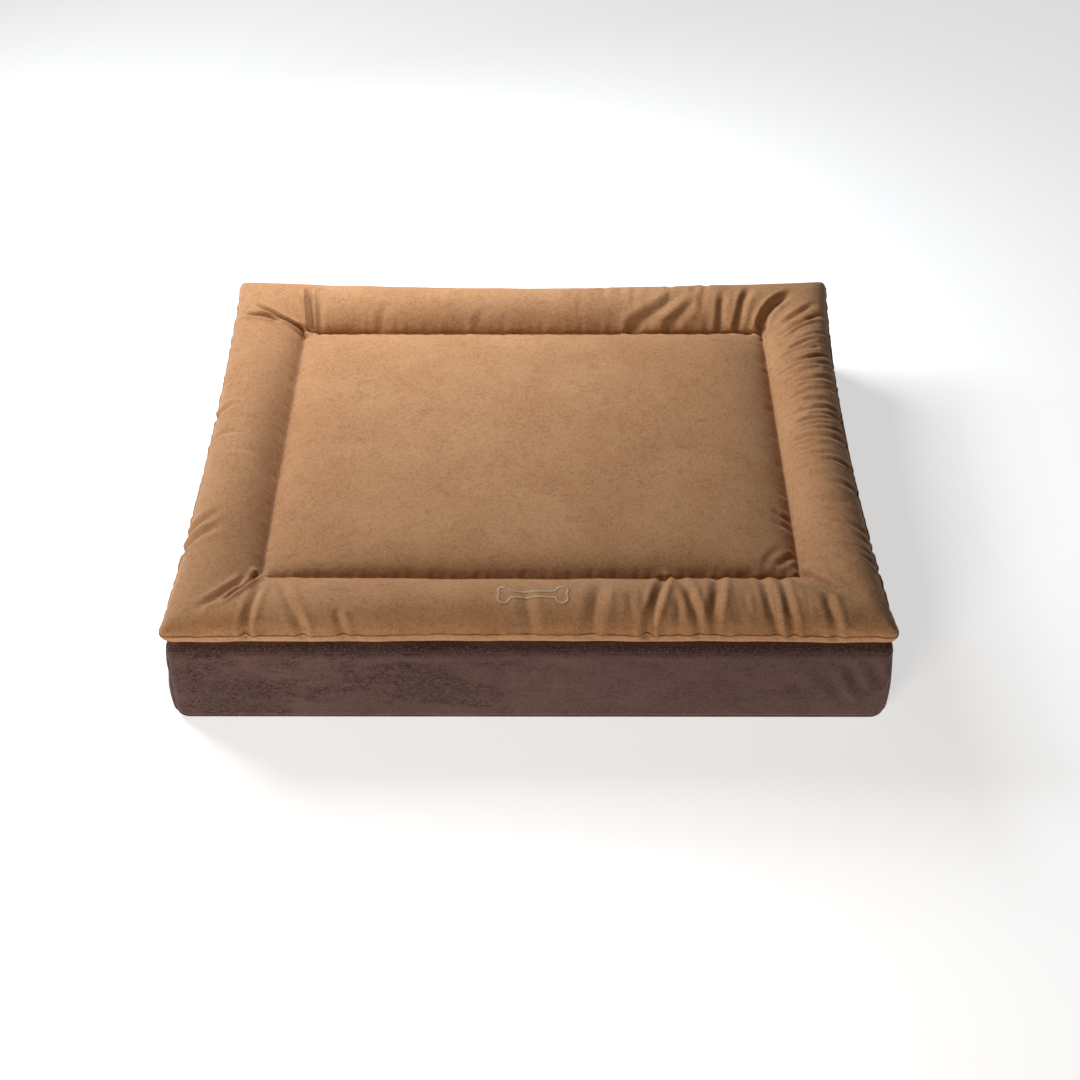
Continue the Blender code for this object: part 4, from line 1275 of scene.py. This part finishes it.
def bottom_panel_faces(looks):
    """The bottom panel's face and lining: flat, with its edge turned up a little."""
    inset = MATTRESS_SIZE.x / 2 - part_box("base_bottom_panel")[1].x
    profile = [(inset, 0.0004), (inset + 0.0006, 0.0)]
    profile += [(inset + d, 0.0) for d in (0.004, 0.012, 0.03, 0.06)]
    face = panel_rings(looks, profile)
    lining = face.copy()
    lining[..., 2] += looks.cloth
    return face, lining


class PETBED_OT_mattress_panels(bpy.types.Operator):
    """Lay the mattress's top and bottom panels over its foam"""
    bl_idname = "petbed.mattress_panels"
    bl_label = "Mattress Panels"

    def execute(self, context):
        looks = context.scene.pet_bed_mattress
        # The top panel rolls over the foam's edge.
        for side, (face, lining), extra in (("top", top_panel_faces(looks), 2 * ROLL * 0.6),
                                            ("bottom", bottom_panel_faces(looks), 0.0)):
            panel = closed_cloth(f"mattress_{side}_panel", face, lining, finish("cocoa_velvet"),
                                 loop=True)
            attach(panel, "mattress")
            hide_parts(f"base_{side}_panel")
        return {"FINISHED"}


class PETBED_OT_mattress_foam(bpy.types.Operator):
    """Cut the mattress's foam block, just inside its cover"""
    bl_idname = "petbed.mattress_foam"
    bl_label = "Mattress Foam"

    def execute(self, context):
        looks = context.scene.pet_bed_mattress
        low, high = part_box("base_foam_core")
        inset = MATTRESS_SIZE.x / 2 - high.x + looks.foam_ease
        bottom, top = low.z + 0.0005, high.z - 0.004
        soft = 0.010
        profile = [(inset + 0.004, bottom), (inset + 0.001, bottom + 0.001),
                   (inset, bottom + 0.004), (inset, top - soft)]
        profile += [(inset + soft * (1 - math.cos(a)), top - soft + soft * math.sin(a))
                    for a in np.radians(np.linspace(15, 90, 6))]
        sides = panel_rings(looks, profile)
        base = panel_rings(looks, profile[:1])
        rings = np.concatenate([base[::-1], sides[1:]])
        index = np.arange(rings.shape[0] * rings.shape[1]).reshape(rings.shape[:2])
        index = np.concatenate([index, index[:, :1]], 1)
        foam = mesh_piece("mattress_foam", rings.reshape(-1, 3), grid_faces(index),
                          finish("cut_foam"))
        weld(foam.data)
        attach(foam, "mattress")
        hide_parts("base_foam_core")
        return {"FINISHED"}


def cord_tree():
    """A round cord along a closed line, a little uneven in girth."""
    if "covered_cord" in bpy.data.node_groups:
        return bpy.data.node_groups["covered_cord"]
    tree, size = new_growth("covered_cord", {
        "Cord Radius": "Float", "Unevenness": "Float", "Lump Size": "Float",
        "Material": "Material"})
    line = add(tree, "GeometryNodeMeshToCurve", Mesh=size["Geometry"])
    place = add(tree, "GeometryNodeInputPosition")
    often = add(tree, "ShaderNodeMath", OVER, Value=[1.0, size["Lump Size"]])
    lumps = add(tree, NOISE, Vector=place, Scale=often, Detail=1)
    least = add(tree, "ShaderNodeMath", LESS, Value=[1.0, size["Unevenness"]])
    girth = add(tree, RAMP, Value=lumps, From_Min=0.3, From_Max=0.7, To_Min=least)
    thick = add(tree, "GeometryNodeSetCurveRadius", Curve=line, Radius=girth)
    section = add(tree, "GeometryNodeCurvePrimitiveCircle", Resolution=10,
                  Radius=size["Cord Radius"])
    tube = add(tree, "GeometryNodeCurveToMesh", Curve=thick, Profile_Curve=section)
    if "Scale" in tube.inputs:
        tree.links.new(girth.outputs[0], tube.inputs["Scale"])
    return end_growth(tree, tube, size["Material"])


class PETBED_OT_mattress_piping(bpy.types.Operator):
    """Run the covered cord round the mattress's bottom seam"""
    bl_idname = "petbed.mattress_piping"
    bl_label = "Mattress Piping"

    def execute(self, context):
        looks = context.scene.pet_bed_mattress
        low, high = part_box("base_bottom_piping")
        radius = (high.z - low.z) / 2
        points, normals = ring(MATTRESS_SIZE.x / 2, MATTRESS_SIZE.y / 2, looks.corner_radius,
                               looks.weave_step)
        run = walk(points)
        stand = high.x - radius - MATTRESS_SIZE.x / 2 + 0.0004 * drift(run, 51, 5, 0.3, 0.04)
        line = np.empty((len(points), 3))
        line[:, :2] = points + normals * stand[:, None]
        line[:, 2] = (low.z + high.z) / 2 + 0.0003 * drift(run, 52, 6, 0.25, 0.03)
        cord = path_piece("mattress_bottom_piping", bowed(line, looks.bow), closed=True)
        grow(cord, cord_tree(), {"Cord Radius": radius, "Unevenness": 0.12,
                                 "Lump Size": 0.018, "Material": finish("cocoa_velvet")})
        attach(cord, "mattress")
        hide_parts("base_bottom_piping")
        return {"FINISHED"}


# ---------------------------------------------------------------- zip

def tooth_tree():
    """The turns of a nylon coil along a line, each a rounded bar with a bulging head."""
    tree, size = new_growth("coil_teeth", {
        "Pitch": "Float", "Reach": "Float", "Wire Radius": "Float", "Seed": "Int",
        "Material": "Material"})
    line = add(tree, "GeometryNodeMeshToCurve", Mesh=size["Geometry"])
    spaced = add(tree, "GeometryNodeResampleCurve", {"mode": "LENGTH"}, Curve=line,
                 Length=size["Pitch"])
    ball = add(tree, "GeometryNodeMeshUVSphere", Segments=6, Rings=4, Radius=1.0)
    radius = size["Wire Radius"]
    long_half = add(tree, "ShaderNodeMath", TIMES, Value=[size["Reach"], 0.5])
    bar_size = add(tree, "ShaderNodeCombineXYZ", X=radius, Y=radius, Z=long_half)
    bar = add(tree, "GeometryNodeTransform", Geometry=ball, Scale=bar_size)
    wide = add(tree, "ShaderNodeMath", TIMES, Value=[radius, 1.35])
    head_size = add(tree, "ShaderNodeCombineXYZ", X=wide, Y=wide, Z=wide)
    inward = add(tree, "ShaderNodeMath", TIMES, Value=[size["Reach"], 0.34])
    head_place = add(tree, "ShaderNodeCombineXYZ", X=0.0, Y=0.0, Z=inward)
    head = add(tree, "GeometryNodeTransform", Geometry=ball, Scale=head_size,
               Translation=head_place)
    both = tree.nodes.new("GeometryNodeJoinGeometry")
    for part in (bar, head):
        tree.links.new(part.outputs[0], both.inputs[0])
    uneven = add(tree, "FunctionNodeRandomValue", {"data_type": "FLOAT"}, Min=0.94, Max=1.0,
                 Seed=size["Seed"])
    placed = add(tree, "GeometryNodeInstanceOnPoints", Points=spaced, Instance=both,
                 Scale=uneven)
    return end_growth(tree, placed, size["Material"])


class PETBED_OT_zip_coils(bpy.types.Operator):
    """Wind the zip's two nylon coils and sew them to their tapes"""
    bl_idname = "petbed.zip_coils"
    bl_label = "Zip Coils"

    def execute(self, context):
        sizes = context.scene.pet_bed_zip
        tree = tooth_tree()
        for which, seed in (("upper", 3), ("lower", 5)):
            node = f"zip_coil_{which}"
            low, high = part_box(node)
            y, z = (low.y + high.y) / 2, (low.z + high.z) / 2
            shift = sizes.tooth_pitch / 2 * (which == "upper")
            teeth = path_piece(node, [(low.x + 0.001 + shift, y, z), (high.x - 0.001, y, z)])
            grow(teeth, tree, {"Pitch": sizes.tooth_pitch, "Reach": high.z - low.z,
                               "Wire Radius": sizes.wire_radius, "Seed": seed,
                               "Material": finish("nylon_zip_coil")})
            if which == "upper":
                for vertex in teeth.data.vertices:
                    vertex.co.z = 2 * z - vertex.co.z
                teeth.data.flip_normals()
            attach(teeth, "mattress")
            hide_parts(node)
            out = 1 if which == "upper" else -1
            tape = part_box(f"zip_tape_{which}")
            edge = high.z if out > 0 else low.z
            face_y = tape[1].y if out > 0 else low.y - CLEAR
            line = [(low.x, face_y + 0.0001, edge + out * 0.0009),
                    (high.x, face_y + 0.0001, edge + out * 0.0009)]
            sew(f"zip_sewing_{which}", line, "mattress", finish("cocoa_thread"),
                0.0026, 0.0020, 0.00022, 0.1, 60 + seed)
        return {"FINISHED"}


def rounded_copy(node, name, material, width, body):
    """A hard piece with its edges softened, in place of its plain node."""
    mesh = NODES[node].data.copy()
    mesh.name = name
    bm = bmesh.new()
    bm.from_mesh(mesh)
    bmesh.ops.remove_doubles(bm, verts=bm.verts, dist=WELD)
    bmesh.ops.dissolve_limit(bm, angle_limit=math.radians(1), verts=bm.verts, edges=bm.edges)
    bmesh.ops.recalc_face_normals(bm, faces=bm.faces)
    bm.to_mesh(mesh)
    bm.free()
    mesh.materials.clear()
    mesh.materials.append(material)
    piece = bpy.data.objects.new(name, mesh)
    bpy.context.scene.collection.objects.link(piece)
    edges = piece.modifiers.new("soft edges", "BEVEL")
    edges.width = width
    edges.segments = 3
    edges.angle_limit = math.radians(28)
    settle(piece)
    piece.data.polygons.foreach_set("use_smooth", [True] * len(piece.data.polygons))
    piece.data.set_sharp_from_angle(angle=math.radians(40))
    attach(piece, body)
    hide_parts(node)
    return piece


class PETBED_OT_zip_hardware(bpy.types.Operator):
    """Finish the zip's slider, pull tab, end stops and tapes"""
    bl_idname = "petbed.zip_hardware"
    bl_label = "Zip Hardware"

    def execute(self, context):
        zinc = finish("antique_plated_zinc")
        rounded_copy("zip_slider_body", "zip_slider", zinc, 0.0003, "zip_slider")
        rounded_copy("zip_pull_tab", "zip_pull", zinc, 0.0003, "zip_pull")
        tape = finish("twill_zip_tape")
        for node, material in (("zip_end_stop_left", zinc), ("zip_end_stop_right", zinc),
                               ("zip_tape_upper", tape), ("zip_tape_lower", tape)):
            NODES[node].data.materials.clear()
            NODES[node].data.materials.append(material)
        return {"FINISHED"}


class PETBED_OT_zip_topstitch(bpy.types.Operator):
    """Topstitch the back bands along both sides of the zip"""
    bl_idname = "petbed.zip_topstitch"
    bl_label = "Zip Topstitching"

    def execute(self, context):
        sizes = context.scene.pet_bed_stitches
        for side, up in (("back_upper", 1), ("back_lower", -1)):
            face = SKETCH[side]
            heights = face[:, 0, 2]
            edge = heights[0] if up > 0 else heights[-1]
            z = edge + up * sizes.topstitch_inset
            line = []
            for k in range(3, face.shape[1] - 3):
                column = face[:, k]
                line.append((np.interp(z, column[:, 2], column[:, 0]),
                             np.interp(z, column[:, 2], column[:, 1]) +
                             sizes.thread_radius * 0.3, z))
            sew(f"mattress_topstitch_{side}", line, "mattress", finish("cocoa_thread"),
                sizes.topstitch_pitch, sizes.topstitch_length,
                sizes.thread_radius * 0.8, 0.1, 70 + up)
        return {"FINISHED"}


# ---------------------------------------------------------------- stage

def aim(location, target):
    """The turn that points a light at its target."""
    return (Vector(target) - Vector(location)).to_track_quat("-Z", "Y").to_euler()


class PETBED_OT_stage(bpy.types.Operator):
    """Set up the pale floor, the soft window-like light and the camera"""
    bl_idname = "petbed.stage"
    bl_label = "Stage"

    def execute(self, context):
        looks = context.scene.pet_bed_stage
        scene = context.scene
        scene.view_settings.view_transform = "Standard"
        floor_mesh = bpy.data.meshes.new("floor")
        reach, back = 6.0, 9.0          # the floor's edges lie out of sight
        floor_mesh.from_pydata([(-reach, -reach, 0), (reach, -reach, 0), (reach, back, 0),
                                (-reach, back, 0)], [], [(0, 1, 2, 3)])
        floor = bpy.data.objects.new("floor", floor_mesh)
        scene.collection.objects.link(floor)
        # Uncoated white paper: no gloss, and faintly mottled.
        paper, tree, place = new_material("matt_paper_sweep")
        tone = add(tree, NOISE, Vector=place, Scale=2)
        white = add(tree, MIX, COLOURS, Factor=tone, A=linear_colour("F4F4F4"),
                    B=linear_colour("F8F8F8"))
        shade(tree, Base_Color=white, Roughness=0.9, Emission_Color=(1, 1, 1, 1),
              Emission_Strength=looks.floor_glow)
        floor_mesh.materials.append(paper)

        world = bpy.data.worlds.new("soft surround")
        scene.world = world
        world.use_nodes = True
        surround = world.node_tree.nodes["Background"]
        surround.inputs["Color"].default_value = (1, 1, 1, 1)
        seen = add(world.node_tree, "ShaderNodeLightPath")
        strength = add(world.node_tree, RAMP, Value=seen,
                       To_Min=looks.surround_strength, To_Max=looks.backdrop_strength)
        world.node_tree.links.new(strength.outputs[0], surround.inputs["Strength"])

        daylight, warm = linear_colour("F7FBFF")[:3], linear_colour("FFF3E6")[:3]
        lit_point = (0, 0, 0.15)
        for name, place, size, power, tint in (
                ("window", looks.window_place, looks.window_size, looks.window_power,
                 daylight),
                ("overhead_lamp", looks.lamp_place, looks.lamp_size, looks.lamp_power,
                 daylight),
                ("reflector", looks.reflector_place, looks.reflector_size,
                 looks.reflector_power, warm)):
            light = bpy.data.lights.new(name, "AREA")
            light.shape = "DISK"
            light.size = size
            light.energy = power
            light.color = tint
            lamp = bpy.data.objects.new(name, light)
            lamp.location = place
            lamp.rotation_euler = aim(place, lit_point)
            lamp.visible_camera = False
            scene.collection.objects.link(lamp)

        lens = bpy.data.cameras.new("camera")
        lens.sensor_width = 36.0
        lens.lens = looks.focal_length
        camera = bpy.data.objects.new("camera", lens)
        turn = (Matrix.Rotation(math.radians(looks.camera_pan), 3, "Z") @
                Matrix.Rotation(math.radians(90 - looks.camera_elevation), 3, "X") @
                Matrix.Rotation(math.radians(looks.camera_roll), 3, "Z"))
        camera.rotation_euler = turn.to_euler()
        camera.location = looks.camera_place
        scene.collection.objects.link(camera)
        scene.camera = camera
        return {"FINISHED"}


# ---------------------------------------------------------------- sizes a user would change

def length(label, text, value):
    """A size in metres."""
    return bpy.props.FloatProperty(name=label, description=text, default=value, min=0.0,
                                   unit="LENGTH", subtype="DISTANCE", precision=4)


def factor(label, text, value, most=1.0):
    """A plain number from 0 to most."""
    return bpy.props.FloatProperty(name=label, description=text, default=value, min=0.0,
                                   max=most)


def place_choice(label, text, value):
    """A place in the frame."""
    return bpy.props.FloatVectorProperty(name=label, description=text, default=value, size=3,
                                         subtype="TRANSLATION", unit="LENGTH")


def colour_choice(label, code):
    """A colour, from its sRGB hex code."""
    return bpy.props.FloatVectorProperty(name=label, description=f"{label} colour", size=3,
                                         subtype="COLOR", min=0.0, max=1.0,
                                         default=linear_colour(code)[:3])


class PETBED_PG_topper(bpy.types.PropertyGroup):
    border_width: length("Border width", "Outer seam to quilted seam, laid flat", 0.120)
    border_cut: length("Border cut", "Cloth cut for one border, before it is stuffed", 0.150)
    cutting_ease: factor("Cutting ease", "Cut length over sewn length", 1.02, 2.0)
    edge_height: length("Edge height", "Outer seam above the mattress", 0.025)
    quilt_height: length("Quilting height", "Quilted seam above the mattress", 0.012)
    border_crown: length("Border crown", "Top of the stuffed rolls above the mattress", 0.053)
    centre_crown: length("Centre crown", "Top of the centre above the mattress", 0.032)
    centre_run: length("Centre run", "How far inside its seam the centre reaches its height",
                       0.085)
    pull_in: bpy.props.FloatVectorProperty(
        name="Pull-in", description="Bow of the left, right, front and back sides", size=4,
        unit="LENGTH", default=(0.009, 0.017, 0.003, 0.015))
    cloth_step: length("Cloth step", "Spacing of the cloth's lattice", 0.009)
    slack_start: factor("Slack start", "Share of the crown before stuffing", 0.8)
    lumps: length("Lumps", "Unevenness of the stuffing", 0.0020)
    lump_spread: bpy.props.IntProperty(name="Lump spread", default=14, min=0,
                                       description="Smoothing passes over the lumps")
    stuffing_pressure: factor("Stuffing pressure", "Pressure of the fibre on the cover", 3.0, 50)
    stuffing_frames: bpy.props.IntProperty(name="Stuffing steps", default=24, min=2,
                                           description="Steps of the cloth simulation")
    cloth_bending: factor("Cloth stiffness", "Bending stiffness of the velvet", 0.3, 10)
    centre_hold: factor("Centre hold", "How far the flat filling steadies the centre", 0.15)
    edge_hold: factor("Edge hold", "How far the seam allowance steadies the outer seam", 0.15)
    most_swell: length("Most swell", "Farthest that stuffing may move the cover", 0.030)
    tip_radius: length("Tip radius", "How blunt the cover's four tips are turned", 0.012)
    edge_ridge: length("Edge ridge", "Half the thickness of the ridge on the outer seam", 0.0016)
    filling_ease: length("Filling ease", "Between the fibre and the cover", 0.0035)


class PETBED_PG_mattress(bpy.types.PropertyGroup):
    corner_radius: length("Corner radius", "Upright corners of the foam", 0.015)
    belly: length("Belly", "How far the bands bulge near the foot", 0.0095)
    belly_height: length("Belly height", "Height of the widest place", 0.026)
    hem_swell: length("Hem swell", "How far the hem stands out", 0.007)
    bow: length("Bow", "How far the ends pull in between the corners", 0.006)
    cloth: length("Cloth", "Thickness of velvet and lining", 0.002)
    foam_ease: length("Foam ease", "Between the foam and its cover", 0.0025)
    weave_step: length("Weave step", "Spacing of the bands' lattice", 0.005)
    band_waves: length("Band waves", "Slackness of the bands", 0.0009)
    band_gathers: length("Band gathers", "Puckers along the seams", 0.0006)
    seam_turn: length("Seam turn", "How far an edge turns into its seam", 0.0012)


class PETBED_PG_stitches(bpy.types.PropertyGroup):
    thread_radius: length("Thread radius", "Half the thickness of the thread", 0.0005)
    quilt_pitch: length("Quilting pitch", "From stitch to stitch", 0.0045)
    quilt_length: length("Quilting stitch", "Length of one stitch", 0.0036)
    topstitch_pitch: length("Topstitch pitch", "From stitch to stitch", 0.0038)
    topstitch_length: length("Topstitch", "Length of one stitch", 0.0030)
    topstitch_inset: length("Topstitch inset", "From the fold beside the zip", 0.0035)
    satin_width: length("Satin width", "Width of the embroidered line", 0.0044)
    satin_pitch: length("Satin pitch", "From thread to thread", 0.0006)
    satin_radius: length("Satin radius", "Half the thickness of the floss", 0.00042)


class PETBED_PG_zip(bpy.types.PropertyGroup):
    tooth_pitch: length("Tooth pitch", "From turn to turn of the coil", 0.0015)
    wire_radius: length("Wire radius", "Half the thickness of the coil's wire", 0.00045)


class PETBED_PG_finishes(bpy.types.PropertyGroup):
    topper_pile: colour_choice("Topper velvet", "AF7E56")
    topper_crushed: colour_choice("Crushed topper velvet", "865735")
    topper_brushed: colour_choice("Brushed topper velvet", "BF926A")
    mattress_pile: colour_choice("Mattress velvet", "5C4541")
    mattress_crushed: colour_choice("Crushed mattress velvet", "3E2C29")
    mattress_brushed: colour_choice("Brushed mattress velvet", "6E544F")
    quilting_thread: colour_choice("Quilting thread", "7F5838")
    embroidery: colour_choice("Embroidery thread", "E6C595")


class PETBED_PG_stage(bpy.types.PropertyGroup):
    window_place: place_choice("Window place", "Middle of the main light", (-1.50, 0.62, 1.30))
    window_size: length("Window size", "Width of the main light", 0.7)
    window_power: factor("Window power", "Watts of the main light", 23.0, 1000)
    lamp_place: place_choice("Lamp place", "Middle of the lamp over the back of the bed",
                             (-0.25, 0.72, 0.85))
    lamp_size: length("Lamp size", "Width of the lamp over the bed", 0.5)
    lamp_power: factor("Lamp power", "Watts of the lamp over the bed", 9.5, 1000)
    reflector_place: place_choice("Reflector place", "Middle of the fill light",
                                  (-0.80, -2.20, 0.80))
    reflector_size: length("Reflector size", "Width of the fill light", 1.0)
    reflector_power: factor("Reflector power", "Watts of the fill light", 20.5, 1000)
    surround_strength: factor("Surround", "Light that the surround gives", 0.02, 10)
    backdrop_strength: factor("Backdrop", "How white the camera sees the surround", 0.92, 10)
    floor_glow: factor("Floor glow", "Lifts the floor towards white", 0.62, 10)
    focal_length: bpy.props.FloatProperty(name="Focal length", default=51.65, min=10,
                                          description="Lens, in millimetres")
    camera_elevation: bpy.props.FloatProperty(name="Camera elevation", default=45.29,
                                              description="Degrees above the horizon")
    camera_pan: bpy.props.FloatProperty(name="Camera pan", default=0.42,
                                        description="Degrees that the camera looks left")
    camera_roll: bpy.props.FloatProperty(name="Camera roll", default=-0.28,
                                         description="Degrees that the camera leans")
    camera_place: place_choice("Camera place", "Where the camera stands",
                               (0.0262, -1.7718, 1.7464))


GROUPS = {
    "pet_bed_topper": PETBED_PG_topper,
    "pet_bed_mattress": PETBED_PG_mattress,
    "pet_bed_stitches": PETBED_PG_stitches,
    "pet_bed_zip": PETBED_PG_zip,
    "pet_bed_finishes": PETBED_PG_finishes,
    "pet_bed_stage": PETBED_PG_stage,
}
OPERATORS = (
    PETBED_OT_topper_cover, PETBED_OT_topper_fillings, PETBED_OT_topper_edge,
    PETBED_OT_topper_stitches, PETBED_OT_embroidery, PETBED_OT_mattress_bands,
    PETBED_OT_mattress_panels, PETBED_OT_mattress_foam, PETBED_OT_mattress_piping,
    PETBED_OT_zip_coils, PETBED_OT_zip_hardware, PETBED_OT_zip_topstitch, PETBED_OT_stage,
)


class PETBED_PT_sidebar(bpy.types.Panel):
    """Lists the bed's steps and their sizes"""
    bl_label = "Pet Bed"
    bl_idname = "PETBED_PT_sidebar"
    bl_space_type = "VIEW_3D"
    bl_region_type = "UI"
    bl_category = "Pet Bed"

    def draw(self, context):
        for operator in OPERATORS:
            self.layout.operator(operator.bl_idname)
        for key, group in GROUPS.items():
            box = self.layout.box()
            box.label(text=key.replace("_", " ").capitalize())
            for size in group.__annotations__:
                box.prop(getattr(context.scene, key), size)


def register():
    for kind in (*GROUPS.values(), *OPERATORS, PETBED_PT_sidebar):
        bpy.utils.register_class(kind)
    for key, group in GROUPS.items():
        setattr(bpy.types.Scene, key, bpy.props.PointerProperty(type=group))


def unregister():
    for key in GROUPS:
        delattr(bpy.types.Scene, key)
    for kind in reversed((*GROUPS.values(), *OPERATORS, PETBED_PT_sidebar)):
        bpy.utils.unregister_class(kind)


def main():
    register()
    for operator in OPERATORS:
        group, name = operator.bl_idname.split(".")
        getattr(getattr(bpy.ops, group), name)()
    bpy.context.view_layer.update()


if __name__ == "__main__":
    main()
